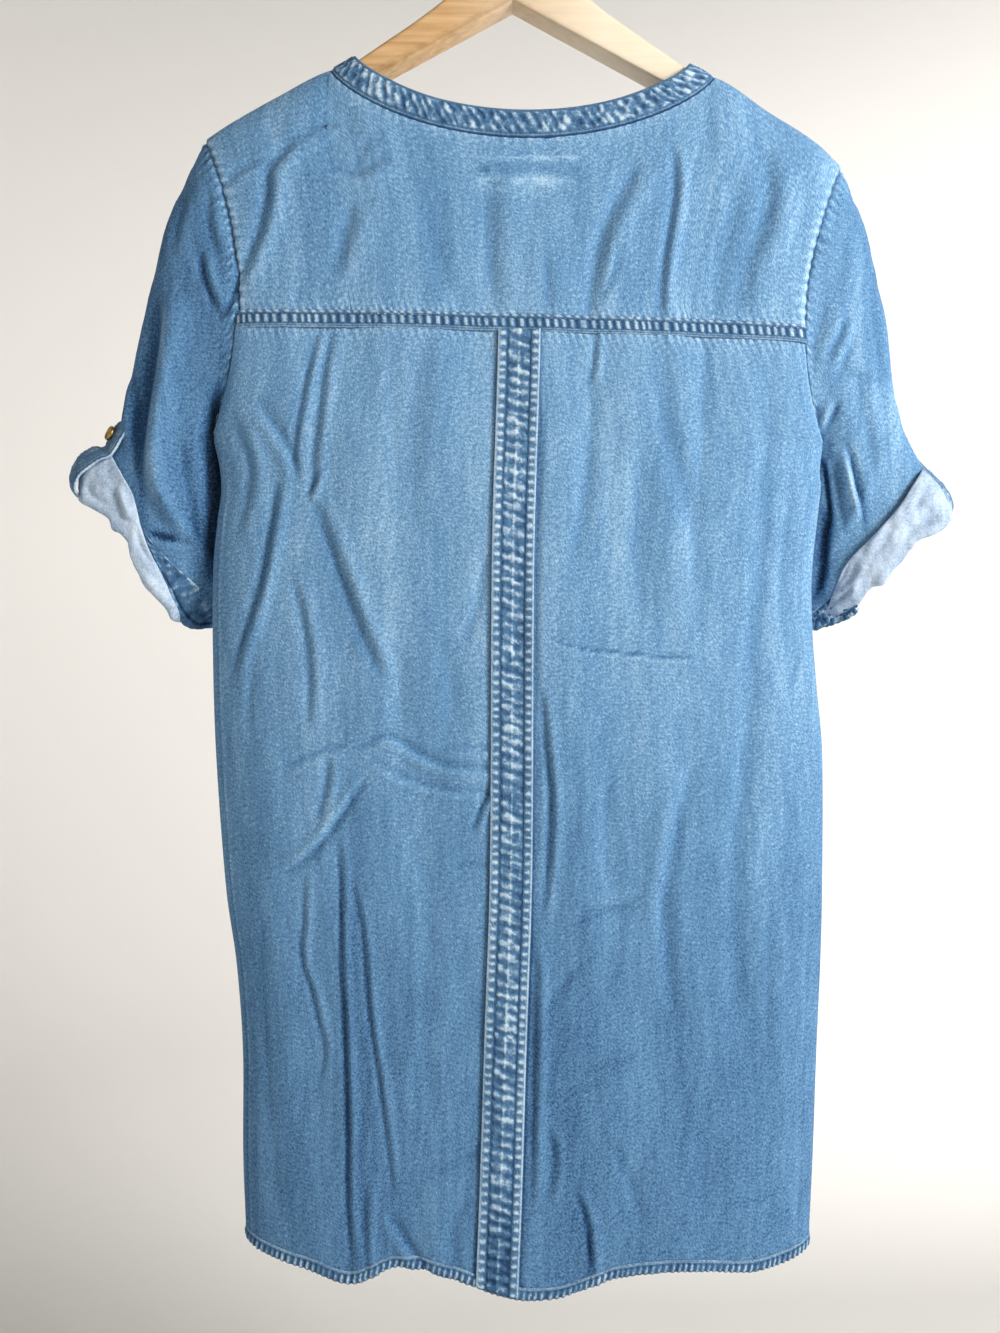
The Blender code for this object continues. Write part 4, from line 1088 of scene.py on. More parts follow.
def makeNeckband(materials):
    seam = neckLoop()
    sideways = (seam[:, 0] - centreX(seam[:, 2]))
    sideways = sideways / (form["neckEdge"] * (edgeX(1, seam[:, 2]) - centreX(seam[:, 2])))
    inward = seam[:, 1] / form["depths"][0][1]
    lean = np.stack([-neckband["lean"] * sideways * np.abs(sideways) ** 3, -0.12 * inward,
                     np.ones(len(seam))], -1)
    lean /= np.linalg.norm(lean, axis=1, keepdims=True)
    v = np.linspace(neckband["width"], -neckband["under"], neckband["rows"] + 1)[:, None]
    points = seam[None] + lean[None] * v[..., None]
    u = flatPlaces(points)[0]
    v = v + 0 * u
    fold = softNoise(u * 0.95 + v * 0.35, v * 0.8 - u * 0.2, 4.6, 81)
    fine = softNoise(u * 1.2 - v * 0.5, v + u * 0.3, 2.5, 82)
    vein = 1 - np.abs(softNoise(u * 1.15 - v * 0.35 + 30, v * 0.75, 5.2, 83)) * 2.4
    blob = ripples(u + v * 0.5, 13.0, 84) * ripples(v * 1.2 + u * 0.15, 14, 85)
    rope = ripples(u + v * 0.55 + 1.5 * fold, 6.8, 86)
    crumple = 0.34 * fold + 0.2 * fine + 0.45 * np.clip(vein, 0, 1) + 0.2 * blob + 0.34 * rope
    body = smoothStep(1.9, 2.9, v) * smoothStep(18.6, 17.6, v)
    rise = 0.35 + body * (0.25 + 0.75 * crumple)
    rise = rise - 0.5 * bell(v - 2.0, 0.5) - 0.4 * bell(v - 18.6, 0.5)
    rise = rise - 0.7 * bell(v, 0.6) - 0.3 * smoothStep(19.4, 20, v)
    worn = body * smoothStep(0.1, 0.9, crumple) * 0.95 + 0.45 * bell(v - 1.15, 0.4)
    worn = worn + 0.15 * bell(v - 19.4, 0.4)
    # painted shade in the stitching grooves and where the band turns under at both edges
    deep = 0.85 * bell(v - 2.05, 0.45) + 0.95 * smoothStep(0.5, 0, v) + 0.6 * bell(v - 18.6, 0.5)
    deep = deep + body * smoothStep(0.15, -0.5, crumple) * 0.8 + 0.35 * smoothStep(19.3, 20, v)
    # the band faces out all round, so each place is pushed away from the neck's middle
    points, turned = reliefNormal(points, rise, closed=True)
    return clothPiece("neckBinding", "denim_band", "neckband", points, neckband["wall"],
                      materials, worn, deep, turned, closed=True), points


# sleeves and cuffs

sleeve = {"cut": (0.40, 0.22), "cutArea": 0.052, "columns": 184, "rows": 104, "wall": 1.1,
          "pucker": 7.4, "smallPucker": 4.3, "halo": 5.0, "shade": {-1: 0.5, 1: 0.07},
          "frontLower": 12, "frontShare": 0.6, "underCuff": (0.80, 0.88), "sink": 2.4}


def makeSleeve(side, name, node, materials):
    angle = np.linspace(-np.pi, np.pi, sleeve["columns"] + 1)
    along = np.linspace(0, 1, sleeve["rows"] + 1) ** 1.15
    points = sleevePoint(side, along, angle)
    x, z = points[..., 0], points[..., 2]
    onBack = np.sin(angle)[None, :]
    share = smoothStep(-0.25, 0.15, onBack)
    onFront = layCreases(x, z + sleeve["frontLower"], sleeveCreases[side], sleeve["frontShare"])
    rise, deep, worn = [mix(far, near, share) for far, near in
                        zip(onFront, layCreases(x, z, sleeveCreases[side]))]
    flat = roundPlaces(points, angle)
    fromSeam = np.linalg.norm(points - points[:1], axis=-1)
    around = runAlong(points[0])[None, :] + 0 * fromSeam
    u, w = flat
    rise += softNoise(u, w * 0.35, 24, 91 + side) * 1.5 * smoothStep(5, 60, fromSeam)
    rise += softNoise(u - w * 0.3, w * 0.6, 12, 93 + side) * 0.5
    rise += softNoise(u, w, 4.5, 95 + side) * 0.1
    # eased-in cloth puckers along the armhole
    pinch = ripples(around + fromSeam * 0.35, sleeve["pucker"], 97)
    pinch = pinch * (0.65 + 0.35 * softNoise(around, 0 * around, 16, 99))
    small = ripples(around - fromSeam * 0.2, sleeve["smallPucker"], 98)
    easing = np.exp(-((fromSeam / 10.5) ** 1.6))
    rise += (1.0 * pinch + 0.3 * small) * easing * smoothStep(0.5, 3.0, fromSeam)
    worn += 0.85 * np.clip(pinch, 0, 1) * easing + 0.24 * np.exp(-fromSeam / 12)
    deep += 0.7 * np.clip(-pinch, 0, 1) * easing * smoothStep(0.8, 3, fromSeam)
    # the seam's edge goes in under the body's, with a painted shadow along it
    rise -= 1.6 * bell(fromSeam, 1.5)
    deep += 0.7 * bell(fromSeam - 0.4, 0.5)
    # the cloth lies quiet at the pit
    pitX, pitZ = form["pits"][side]
    rise *= smoothStep(5, 26, np.hypot(x - pitX, z - pitZ))
    # nothing shows where the cuff lies over it
    under = 1 - smoothStep(*sleeve["underCuff"], along)[:, None]
    rise = rise * under - sleeve["sink"] * (1 - under)
    # painted shadow: each hollow goes nearly black and loses its pale wear
    for width, depth, *line in sleeveHollows[side]:
        apart, share = distanceTo(x, z, line)
        hollow = bell(apart, width) * np.clip(5 * share * (1 - share), 0, 1)
        hollow = hollow * smoothStep(-0.4, 0, onBack) * smoothStep(0, 5, fromSeam)
        rise -= 0.4 * depth * hollow
        deep += 2.2 * hollow
        worn *= 1 - hollow
    # painted shade: the right sleeve darker towards its top
    deep += 0.24 * smoothStep(-370, -280, z) * (side > 0)
    worn += 0.5 * np.clip(softNoise(u * 1.4, w * 0.3, 15, 103), 0, 1) * smoothStep(0, 40, fromSeam)
    # painted shade: the whole left sleeve darker and the right sleeve's back a little darker,
    # where they turn from the light
    deep += sleeve["shade"][side] * smoothStep(0, 1, onBack * (1 + side) / 2 + (1 - side) / 2)
    points, turned = reliefNormal(points, rise, closed=True)
    points[0, :, 0] -= side * 1.4
    points[:, -1] = points[:, 0]
    return clothPiece(name, "denim", node, points, sleeve["wall"], materials, worn, deep, turned,
                      closed=True, flat=flat)


# the cuffs and what shows of their hems: share round the back, free edge, then the fold
cuff = {
    "cut": (0.27, 0.045), "cutArea": 0.0115, "columns": 200, "outerRows": 27, "foldRows": 7,
    "innerRows": 6, "depth": 20.0, "inner": 20.0, "lift": 2.8, "puff": 1.5, "foldRadius": 2.2,
    "height": 24.0, "wall": 1.2, "bulge": {-1: 8.5, 1: 1.0},
    "rails": {
        -1: [(0, -290, -428, -313, -457), (0.08, -287, -434, -308, -461),
             (0.16, -283.5, -441, -301, -467), (0.24, -278.5, -450, -291.5, -474),
             (0.3, -274.5, -457, -288, -481), (0.37, -271, -467.5, -279, -488),
             (0.45, -267.5, -482, -275, -501.5), (0.54, -262, -497.5, -268.5, -515),
             (0.63, -255.5, -510.5, -263, -524.5), (0.72, -250, -521.5, -255, -533),
             (0.8, -245, -533, -248.5, -540.5), (0.87, -240, -543, -244.5, -548.5),
             (0.93, -233, -546, -237, -550.5), (1, -209, -541, -207, -543.5)],
        1: [(0, 289, -440, 308.5, -460), (0.08, 287, -444, 308, -471),
            (0.18, 281, -453.5, 301, -481), (0.26, 275.5, -462.5, 289, -486),
            (0.34, 269, -471, 281, -493.5), (0.42, 262, -479, 274.5, -504),
            (0.51, 254, -487.5, 266.5, -511.5), (0.6, 245.5, -496, 258.5, -521.5),
            (0.69, 238.5, -503, 251, -524.5), (0.77, 232.5, -511.5, 241.5, -535),
            (0.86, 227, -525, 232, -541.5), (0.94, 222, -538, 223, -545),
            (1, 210, -539, 208, -545)],
    },
}
cuffHem = {
    "sides": {-1: {"cut": (0.08, 0.03), "cutArea": 0.0022},
              1: {"cut": (0.04, 0.024), "cutArea": 0.0009}},
    "columns": 120, "rows": 30, "lift": 1.3, "wall": 1.0, "puckers": {-1: 6.0, 1: 3.6},
    "rails": {
        -1: [(0.5, -266, -485, -268, -488), (0.56, -258.5, -494, -263, -499),
             (0.64, -250, -503, -256.5, -512), (0.72, -240, -512.5, -250.5, -523.5),
             (0.8, -231.5, -520, -245.5, -534.5), (0.88, -223.5, -527.5, -240, -548),
             (0.94, -216, -534.5, -230, -556), (1, -206, -540, -206, -549)],
        1: [(0.8, 242, -536, 242.5, -540.5), (0.86, 232, -539.5, 235, -546.5),
            (0.92, 224, -537, 225, -551.5), (0.97, 216, -535.5, 214, -555),
            (1, 209, -536.5, 207, -555)],
    },
}


def atDepth(places, y):
    # places laid out on the hanger's plane, moved to the same look at their own depth
    middle = np.array(cameraSet["place"])[[0, 2]]
    return middle + (places - middle) * (1 - y / cameraSet["place"][1])[..., None]


def cuffPlaces(side, rails, share, face, v, off):
    # share: 0 at the outer end, 1 beside the body; v: 0 at the free edge, 1 at the fold
    rows = np.array(rails, float)
    edges = curveThrough(rows[:, 0], rows[:, 1:], share)
    swell = np.sqrt(np.clip(1 - (1 - 2 * share) ** 2, 0, 1))
    flat = mix(edges[None, :, :2], edges[None, :, 2:], v[..., None])
    ends = np.array(cuff["rails"][side], float)[[0, -1], 3:]
    outward = (ends[0] - ends[1]) / np.linalg.norm(ends[0] - ends[1])
    flat = flat + outward * ((1 - 2 * share) * off)[..., None]
    y = cuff["inner"] * share + face * swell * (cuff["depth"] + cuff["lift"] + off)
    swollen = cuff["bulge"][side] * np.sin(np.pi * np.clip(v, 0, 1)) ** 0.8
    flat = flat + outward * (swollen * np.clip(1 - share / 0.3, 0, 1) ** 2)[..., None]
    flat = atDepth(flat, np.minimum(y, 0.3 * y))
    return np.stack([flat[..., 0], y, flat[..., 1]], -1)


def makeCuff(side, name, node, materials):
    angle = np.linspace(-np.pi, np.pi, cuff["columns"] + 1)
    share = (1 - np.cos(angle)) / 2
    face = np.where(np.sin(angle) >= 0, back, front)
    radius = cuff["foldRadius"]
    outer = np.linspace(0, 1, cuff["outerRows"] + 1)[:, None]
    turn = np.linspace(0, np.pi, cuff["foldRows"] + 1)[1:, None]
    inside = np.linspace(0, 1, cuff["innerRows"] + 1)[1:, None]
    v = np.concatenate([outer, 1 + np.sin(turn) * radius / cuff["height"], 1 - inside * 0.45])
    off = np.concatenate([cuff["puff"] * np.sin(np.pi * outer) ** 0.8,
                          -radius * (1 - np.cos(turn)), -2 * radius - 3.5 * inside])
    v = v + 0 * share
    # the part beside the body lies in under the hem
    off = off - 4.0 * smoothStep(0.83, 0.92, share) * (side < 0)
    points = cuffPlaces(side, cuff["rails"][side], share, face, v, off)
    points[:, -1] = points[:, 0]
    x, y, z = np.moveaxis(points, -1, 0)
    rise, deep, worn = layCreases(x, z, cuffCreases[side])
    onBack = smoothStep(-0.1, 0.2, np.sin(angle))[None, :]
    rise = rise * onBack
    row = np.linspace(0, 1, points.shape[0])[:, None]
    ramp = smoothStep(0, 0.06, row) * smoothStep(1, 0.85, row)
    flat = roundPlaces(points, angle)
    bulge = softNoise(x + z * 0.4, z * 0.9 + y, 13, 103 + side) * 1.2
    bulge = bulge + softNoise(x + z, z - x + y, 6, 105 + side) * 0.5
    rise = np.maximum((rise + bulge) * ramp, -2.0) + softNoise(x, z + y, 2.8, 107) * 0.16
    worn = worn + 0.30 * bell(row - 0.02, 0.025) + 0.35 * softNoise(x, z + y, 14, 108)
    deep = deep * 0.7 + 0.22 * np.clip(softNoise(x, z + y, 9, 109), 0, 1)
    deep = deep + 0.25 * smoothStep(0.55, 0.7, row) * smoothStep(0.9, 0.7, row)
    points, turned = reliefNormal(points, rise, closed=True)
    points[:, -1] = points[:, 0]
    return clothPiece(name, "denim_inside", node, points, cuff["wall"], materials, worn, deep,
                      turned, closed=True, flat=flat)


def makeCuffHem(side, name, node, materials):
    rails = cuffHem["rails"][side]
    share = np.linspace(rails[0][0], rails[-1][0], cuffHem["columns"] + 1)
    v = np.linspace(0, 1, cuffHem["rows"] + 1)[:, None] + 0 * share
    # a rolled edge along the foot
    roll = np.clip((v - 0.78) / 0.22, 0, 1)
    off = cuffHem["lift"] - cuff["lift"] + 1.6 * np.sin(np.pi * roll) ** 0.8 - 2.2 * roll ** 6
    if side > 0:
        off = off + 1.2 - 2.0 * v * (1 - v)
    points = cuffPlaces(side, rails, share, back, v, off)
    u, w = flatPlaces(points)
    slant = ripples(u + w * 0.7, cuffHem["puckers"][side], 111)
    rumple = softNoise(u, w, 4.2, 112)
    seam = bell(v - 0.77, 0.035)
    rise = (slant * 0.25 + rumple * 0.8) * smoothStep(0, 0.2, v) - 0.9 * seam
    deep = 0.25 + 0.5 * np.clip(-rumple, 0, 1) + 0.8 * seam + 0.12 * np.clip(-slant, 0, 1)
    worn = 0.75 * bell(v - 0.02, 0.03) + 0.45 * smoothStep(0.25, 0.7, rumple + 0.2 * slant)
    if side > 0:
        frayed = softNoise(u, w, 2.0, 113)
        rise = rise + 0.9 * frayed
        worn = 0.9 * smoothStep(-0.35, 0.4, frayed + 0.4 * slant)
        deep = 0.15 + 0.6 * np.clip(-frayed, 0, 1)
    points, turned = reliefNormal(points, rise)
    return clothPiece(name, "denim_band", node, points, cuffHem["wall"], materials, worn, deep,
                      turned)


# tabs and buttons

# each row of a tab: its far edge x, z, y, then its near edge x, z, y
tab = {
    "cut": (0.022, 0.085), "cutArea": 0.0018, "columns": 18, "rows": 90, "wall": 1.5,
    "stitches": 2.4,
    "edges": {
        -1: [(-277, -404, 2, -273, -406, -6), (-283, -406.5, 6, -277, -411, -9),
             (-287.5, -411, 9, -281.5, -417, -11), (-291, -418, 10, -286, -425, -12),
             (-294, -424, 10, -290.5, -430.5, -12.5), (-302, -424.5, 10, -298.5, -434, -13),
             (-309.5, -428.5, 10, -306.5, -439.5, -13), (-315, -435, 10, -312.5, -445, -13),
             (-318, -444, 10, -315.5, -451.5, -12), (-317, -452, 10, -314.5, -457.5, -9),
             (-313, -459, 10, -309, -461, -4), (-306, -460, 8, -302, -459, 0)],
        1: [(264, -403, 16, 268, -404.5, 10), (264, -409, 21, 273, -412, 7),
            (268, -417, 23, 277.5, -420, 5), (274, -425, 22, 282, -428, 2),
            (281, -432.5, 20, 286.5, -435, -3), (288.5, -439, 18, 291, -441, -6),
            (297, -445.5, 15, 297.5, -448, -8), (304, -453, 14, 303.5, -454.5, -9),
            (309, -461.5, 13, 308, -463, -9), (309.5, -470, 13, 308, -470, -8),
            (304, -475, 12, 302, -473.5, -4), (297, -475, 10, 296, -472, 0)],
    },
}
button = {
    "radius": 5.4, "height": 2.6, "steps": 40, "at": 0.21, "across": {-1: 0.4, 1: 0.35},
    "gap": 0.2,
    "profile": [(0, 0.62), (0.16, 0.60), (0.30, 0.50), (0.62, 0.52), (0.74, 0.70), (0.80, 0.94),
                (0.86, 1.0), (0.93, 0.97), (0.99, 0.80), (1.0, 0.5), (0.97, 0.16), (0.88, 0.0),
                (0, 0.0)],
}


def makeTab(side, name, node, materials):
    rows = np.array(tab["edges"][side], float)
    run = runAlong((rows[:, :3] + rows[:, 3:]) / 2)
    even = np.linspace(0, run[-1], tab["rows"] + 1)
    rows = curveThrough(run, rows, even)
    far, near = [np.insert(atDepth(r[:, :2], r[:, 2]), 1, r[:, 2], 1)
                 for r in (rows[:, :3], rows[:, 3:])]
    across = np.linspace(0, 1, tab["columns"] + 1)
    points = mix(far[:, None], near[:, None], across[None, :, None])
    wide = np.linalg.norm(far - near, axis=1)[:, None]
    normal = np.cross(np.gradient(points, axis=1), np.gradient(points, axis=0))
    normal /= np.linalg.norm(normal, axis=-1, keepdims=True)
    turned = bool(np.sum(normal[..., 0]) * side < 0)
    if turned:
        normal = -normal
    edge = (0.5 - np.abs(across - 0.5))[None, :] * wide
    edge = np.minimum(edge, even[:, None] + 0.4)
    u, down = flatPlaces(points)
    rung = ripples(down, 3.6, 121)
    crown = 1.6 * (1 - (2 * across[None, :] - 1) ** 2)
    rise = crown - 0.45 * bell(edge - tab["stitches"], 0.5) + 0.2 * rung * bell(edge, 1.6)
    rise = rise + 0.3 * softNoise(down * 1.2, u * 1.1, 5, 122)
    worn = 0.7 * bell(edge, 0.6) + 0.35 * bell(edge - tab["stitches"] - 1.0, 0.5)
    worn = worn + 0.3 * smoothStep(0.1, 0.6, softNoise(down, u, 6, 123))
    deep = 0.7 * bell(edge - 1.7, 0.5) + 0.12
    points = points + normal * rise[..., None]
    piece = clothPiece(name, "denim_band", node, points, tab["wall"], materials, worn, deep,
                       turned)
    row = int(button["at"] * tab["rows"])
    column = int(button["across"][side] * tab["columns"])
    return piece, points[row, column], normal[row, column]


def makeButton(name, node, seat, outward, brass):
    # a turned brass stud: raised rim, dished middle with a low boss
    bm = bmesh.new()
    spinProfile(bm, [(r * button["radius"] * mm, h * button["height"] * mm)
                     for r, h in button["profile"]], button["steps"])
    face = Vector(outward)
    turn = face.to_track_quat("Z", "Y").to_matrix().to_4x4()
    seat = (Vector(seat) + face * button["gap"]) * mm
    bmesh.ops.transform(bm, matrix=Matrix.Translation(seat) @ turn, verts=bm.verts)
    return place(addMesh(name, bm, brass), "button_brass", node)


def makeBrass():
    material, tree, shader = newMaterial(
        "oldBrass", {"Metallic": 1.0, "Roughness": 0.34, "Base Color": (0.55, 0.36, 0.12, 1)})
    where = objectPlace(tree)
    grain = noise(tree, where, 900, 4, 0.6)
    tarnish = remap(tree, noise(tree, where, 260, 3, 0.6), 0.4, 0.65)
    colour = blendColour(tree, tarnish, (0.62, 0.42, 0.15, 1), (0.34, 0.20, 0.07, 1))
    dress(tree, shader, colour, remap(tree, grain, 0, 1, 0.25, 0.5), (grain, 0.3, 0.0002))
    return material


# stitches

stitch = {"length": 2.5, "pitch": 3.4, "radius": 0.26}


def sewAlong(name, lines, thread):
    # one short bead of thread for each stitch; lines hold points already on the cloth
    ball = bmesh.new()
    bmesh.ops.create_uvsphere(ball, u_segments=5, v_segments=4, radius=1)
    bead = bpy.data.meshes.new("bead")
    ball.to_mesh(bead)
    ball.free()
    bm = bmesh.new()
    pitch = stitch["pitch"]
    radius = stitch["radius"] * mm
    for line in lines:
        run = runAlong(line)
        starts = np.arange(pitch * 0.5, run[-1] - pitch, pitch)
        ends = starts + stitch["length"]
        first, last = [np.stack([np.interp(at, run, line[:, k]) for k in range(3)], -1) * mm
                       for at in (starts, ends)]
        for a, b in zip(first, last):
            way = Vector(b - a)
            turn = way.to_track_quat("Z", "Y").to_matrix().to_4x4()
            size = Matrix.Diagonal((radius, radius, way.length / 2, 1))
            one = bead.copy()
            one.transform(Matrix.Translation(Vector((a + b) / 2)) @ turn @ size)
            bm.from_mesh(one)
            bpy.data.meshes.remove(one)
    bpy.data.meshes.remove(bead)
    piece = addMesh(name, bm, thread)
    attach(piece, "root")
    return piece


def makeThread():
    material, tree, shader = newMaterial(
        "sewingThread", {"Roughness": 0.7, "Specular IOR Level": 0.3,
                         "Base Color": (0.09, 0.19, 0.32, 1)})
    grain = noise(tree, objectPlace(tree), 700, 2)
    dress(tree, shader, blendColour(tree, grain, (0.05, 0.13, 0.25, 1), (0.20, 0.34, 0.50, 1)))
    return material


# the hanger

hanger = {
    "top": [(-207, -209.5), (-200, -202), (-186, -193.5), (-152, -176.5), (-131, -166),
            (-108, -151), (-54, -113), (-30, -88), (-14, -77), (14, -77), (30, -88), (54, -113),
            (112, -154.5), (124, -163), (139, -172), (160, -183.5), (178, -195), (199, -208.5),
            (208, -216)],
    "foot": [(207, -227), (-3, -112), (-204, -221)],
    "thickness": 22.0, "round": 4.6, "hookInside": 20.0, "wire": 1.9,
    "shankTop": -56, "shankFoot": -76.7,
}


def makeWood():
    material, tree, shader = newMaterial(
        "hangerWood", {"Roughness": 0.42, "Specular IOR Level": 0.4, "Coat Weight": 0.15,
                       "Coat Roughness": 0.25})
    parts = put(tree, "ShaderNodeSeparateXYZ", {}, {0: objectPlace(tree)}).outputs
    # both arms slope the same way once the left one is mirrored
    arm = calc(tree, "ABSOLUTE", parts[0], 0.0)
    joined = put(tree, "ShaderNodeCombineXYZ", {}, {0: arm, 1: parts[1], 2: parts[2]})
    turned = put(tree, "ShaderNodeMapping", {},
                 {"Vector": joined.outputs[0], "Rotation": (0, math.radians(-32), 0),
                  "Scale": (0.06, 1, 1)}).outputs[0]
    grain = noise(tree, turned, 240, 4, 0.55)
    pores = noise(tree, turned, 900, 2)
    colour = blendColour(tree, remap(tree, grain, 0.35, 0.7), (0.74, 0.48, 0.24, 1),
                         (0.52, 0.29, 0.12, 1))
    fleck = remap(tree, pores, 0.6, 0.75, most=0.35)
    colour = blendColour(tree, fleck, colour, (0.42, 0.25, 0.11, 1))
    # painted light: the wood goes paler towards the right arm, where the key light falls
    pale = remap(tree, parts[0], -0.05, 0.06, most=0.72)
    colour = blendColour(tree, pale, colour, (0.95, 0.88, 0.72, 1))
    dress(tree, shader, colour, remap(tree, grain, 0, 1, 0.34, 0.55), (pores, 0.12, 0.0003))
    return material


def makeHanger(wood, steel):
    top = np.array(hanger["top"], float)
    run = runAlong(top)
    smooth = curveThrough(run, top, np.linspace(0, run[-1], 90))
    outline = [tuple(p) for p in smooth] + hanger["foot"]
    half = hanger["thickness"] / 2 * mm
    bm = bmesh.new()
    board = bm.faces.new([bm.verts.new((x * mm, half, z * mm)) for x, z in outline])
    grown = bmesh.ops.extrude_face_region(bm, geom=[board])
    moved = [item for item in grown["geom"] if isinstance(item, bmesh.types.BMVert)]
    bmesh.ops.translate(bm, vec=(0, -2 * half, 0), verts=moved)
    bmesh.ops.recalc_face_normals(bm, faces=bm.faces)
    rims = [e for e in bm.edges if abs(e.verts[0].co.y - e.verts[1].co.y) < half]
    bmesh.ops.bevel(bm, geom=rims, offset=hanger["round"] * mm, offset_type="OFFSET", segments=5,
                    profile=0.5, affect="EDGES", material=-1, clamp_overlap=True)
    arms = addMesh("hangerArms", bm, wood)
    arms.data.set_sharp_from_angle(angle=math.radians(50))
    place(arms, "hanger_wood", "hanger_wood")

    radius = hanger["hookInside"] + hanger["wire"]
    turns = np.radians(np.arange(200, -61, -6))
    route = [(math.cos(a) * radius, 0, math.sin(a) * radius - hanger["hookInside"]) for a in turns]
    bend = route[-1]
    for share in (0.2, 0.4, 0.6, 0.8, 1.0):
        slide = math.sin(share * math.pi / 2)
        route.append((mix(bend[0], 0, slide), 0, mix(bend[2], hanger["shankTop"], share)))
    route.append((0, 0, hanger["shankFoot"]))
    curve = bpy.data.curves.new("hangerHook", "CURVE")
    curve.dimensions = "3D"
    curve.bevel_depth = hanger["wire"] * mm
    curve.bevel_resolution = 5
    curve.use_fill_caps = True
    spline = curve.splines.new("POLY")
    spline.points.add(len(route) - 1)
    for point, spot in zip(spline.points, route):
        point.co = (*(c * mm for c in spot), 1)
    curve.materials.append(steel)
    place(addObject("hangerHook", curve), "hook_steel", "hanger_hook")


def makeSteel():
    material, tree, shader = newMaterial(
        "hookSteel", {"Metallic": 1.0, "Roughness": 0.26, "Base Color": (0.62, 0.62, 0.63, 1)})
    smear = noise(tree, objectPlace(tree), 120, 4)
    dress(tree, shader, rough=remap(tree, smear, 0, 1, 0.18, 0.4))
    return material


# studio

studio = {
    "floor": -1.36, "radius": 2.6, "corner": 1.1, "steps": 72, "gap": 0.0001,
    "tone": (0.80, 0.785, 0.76),
    "world": (0.80, 0.88, 1.0), "worldStrength": 0.06,
    "lights": [
        # name, place, aimed at, width, height, watts, colour
        ("key", (1.45, -1.0, 0.06), (0.02, 0.0, -0.52), 0.65, 0.75, 41, (1.0, 0.985, 0.97)),
        ("fill", (-1.3, -1.5, 0.2), (0.0, 0.0, -0.6), 1.6, 1.6, 0.5, (0.88, 0.94, 1.0)),
        ("behind", (0.9, 1.6, 0.5), (0.0, 0.0, -0.5), 1.5, 1.5, 3, (1.0, 0.98, 0.95)),
        ("backdrop", (1.05, 0.6, 0.2), (0.95, 2.6, 0.15), 2.2, 2.0, 43.5, (1.0, 0.985, 0.96)),
        ("farSide", (0.0, -1.3, 0.8), (0.0, -2.6, -0.3), 1.4, 1.2, 4, (1.0, 0.985, 0.96)),
    ],
}


def makeStudio():
    floor, corner, radius = studio["floor"], studio["corner"], studio["radius"]
    profile = [(0.0, floor), (0.5, floor), (1.0, floor)]
    for turn in np.linspace(0, math.pi / 2, 13):
        profile.append((radius - corner + math.sin(turn) * corner,
                        floor + corner - math.cos(turn) * corner))
    profile += [(radius, floor + 2.2), (radius, floor + 3.6)]
    bm = bmesh.new()
    spinProfile(bm, profile, studio["steps"], studio["gap"])
    bmesh.ops.reverse_faces(bm, faces=bm.faces)
    material = newMaterial("paleSweep", {"Roughness": 0.9, "Base Color": (*studio["tone"], 1)})[0]
    addMesh("paleSweep", bm, material)

    for name, spot, aim, width, height, watts, colour in studio["lights"]:
        data = bpy.data.lights.new(name, "AREA")
        data.shape = "RECTANGLE"
        data.size = width
        data.size_y = height
        data.energy = watts
        data.color = colour
        light = addObject(name, data)
        light.location = spot
        light.rotation_euler = (Vector(aim) - Vector(spot)).to_track_quat("-Z", "Y").to_euler()
        light.visible_camera = False

    world = bpy.data.worlds.new("softRoom")
    world.use_nodes = True
    sky = world.node_tree.nodes["Background"]
    sky.inputs["Color"].default_value = (*studio["world"], 1)
    sky.inputs["Strength"].default_value = studio["worldStrength"]
    bpy.context.scene.world = world
    bpy.context.scene.view_settings.view_transform = "Standard"

    camera = bpy.data.cameras.new("view")
    camera.lens = camera.sensor_width / 2 / math.tan(math.radians(cameraSet["verticalAngle"]) / 2)
    camera.clip_start = cameraSet["clipStart"]
    viewer = addObject("view", camera)
    viewer.location = [c * mm for c in cameraSet["place"]]
    viewer.rotation_euler = (math.pi / 2, 0, 0)
    bpy.context.scene.camera = viewer


# everything together

for thing in [o for o in bpy.context.scene.objects if o.type in ("LIGHT", "CAMERA")]:
    bpy.data.objects.remove(thing)
makeStudio()
print("studio ready")

washed = makeWashedDenim()
denim, denimBand, denimInside = [clothMaterial(name, washed) for name in clothTones]
thread = makeThread()
print("cloth ready")

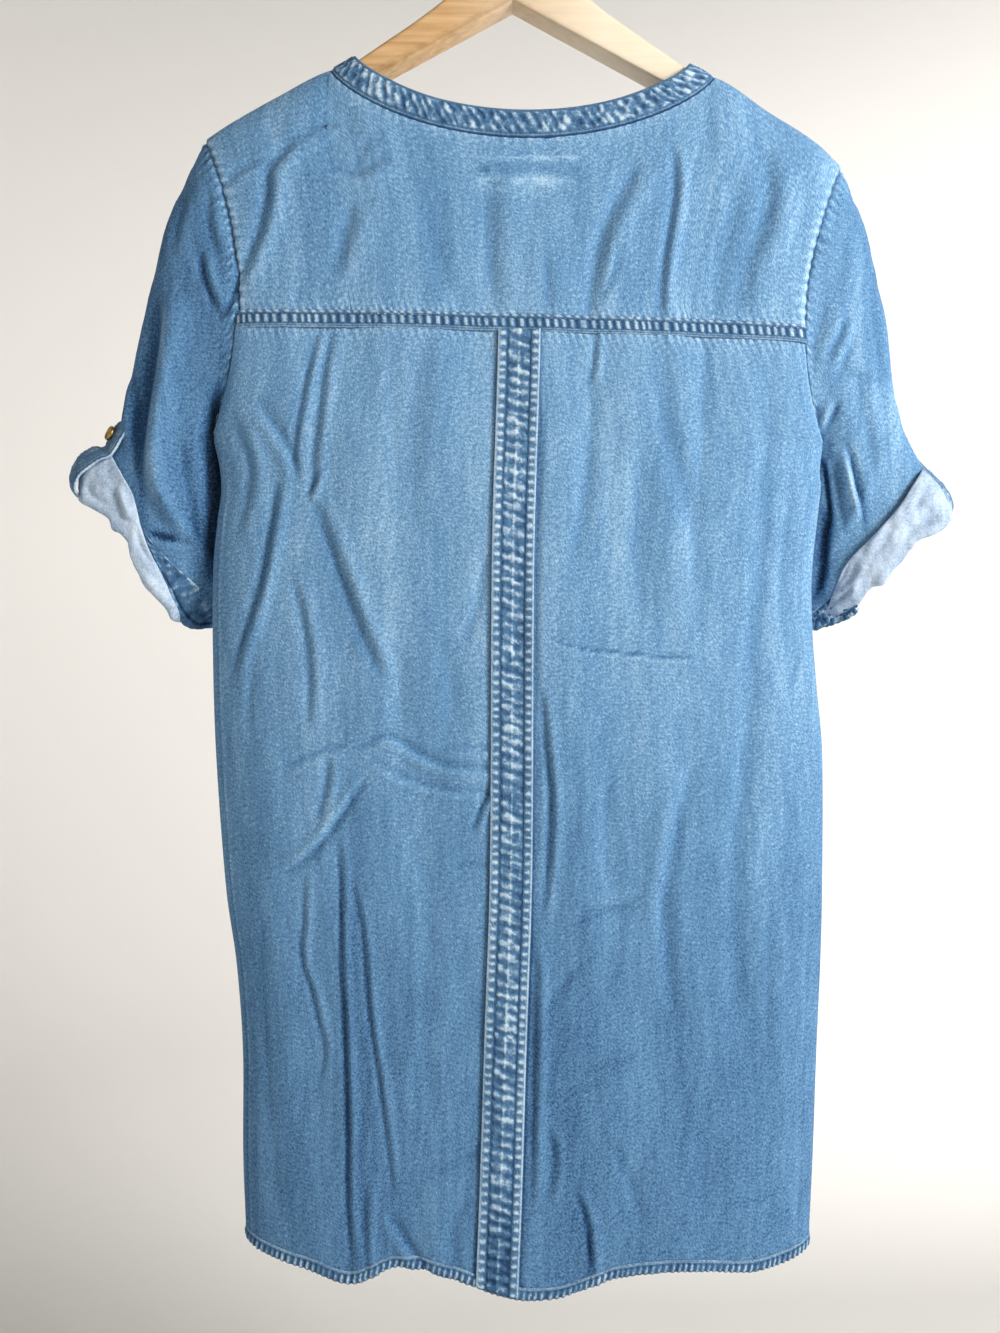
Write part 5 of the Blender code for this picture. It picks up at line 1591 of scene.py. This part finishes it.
yokePiece = makeYoke([denim, denimInside])
yokeBandPiece, bandPoints = makeYokeBand([denimBand])
panelLeft = makeBackPanel(-1, "backPanelLeft", "back_panel_left", [denim, denimInside])
panelRight = makeBackPanel(1, "backPanelRight", "back_panel_right", [denim, denimInside])
stripPiece, stripPoints = makeStrip([denimBand])
frontPiece = makeFront([denim, denimInside])
hemBack, hemBackPoints = makeHem("hemBack", "hem_back", back, [denimBand])
hemFront, hemFrontPoints = makeHem("hemFront", "hem_front", front, [denimBand])
print("body ready")

neckPiece, neckPoints = makeNeckband([denimBand])
print("neck ready")

bandRow = yokeBand["rows"] / (yokeBand["top"] - yokeBand["foot"])
bandLines = [lineOn(bandPoints, (yokeBand["top"] - v) * bandRow) for v in yokeBand["sewnAt"]]
stripColumn = strip["columns"] / strip["halfWidth"] / 2
stripLines = [lineOn(np.swapaxes(stripPoints, 0, 1), (strip["halfWidth"] + s) * stripColumn)
              for s in (-strip["sewnAt"], strip["sewnAt"])]
neckRow = neckband["rows"] / (neckband["width"] + neckband["under"])
neckLines = [lineOn(neckPoints, (neckband["width"] - v) * neckRow) for v in neckband["sewnAt"]]
hemRow = hem["sewnAt"] * hem["rows"] / hem["turnsTo"]
yokeThread, stripThread, neckThread, hemBackThread, hemFrontThread = [
    sewAlong(name + "Stitches", lines, thread) for name, lines in (
        ("yoke", bandLines), ("strip", stripLines), ("neck", neckLines),
        ("hemBack", [lineOn(hemBackPoints, hemRow)]),
        ("hemFront", [lineOn(hemFrontPoints, hemRow)]))]
print("stitches ready")

sides = {-1: "Left", 1: "Right"}
brass = makeBrass()
for side, word in sides.items():
    low = word.lower()
    sleevePiece = makeSleeve(side, "sleeve" + word, "sleeve_" + low, [denim, denimInside])
    cuffPiece = makeCuff(side, "cuff" + word, "cuff_" + low, [denimInside, denim])
    cuffHemPiece = makeCuffHem(side, "cuffHem" + word, "cuff_hem_" + low, [denimBand])
    tabPiece, seat, outward = makeTab(side, "tab" + word, "tab_" + low, [denimBand])
    buttonPiece = makeButton("button" + word, "button_" + low, seat, outward, brass)
print("sleeves ready")

makeHanger(makeWood(), makeSteel())
print("hanger ready")
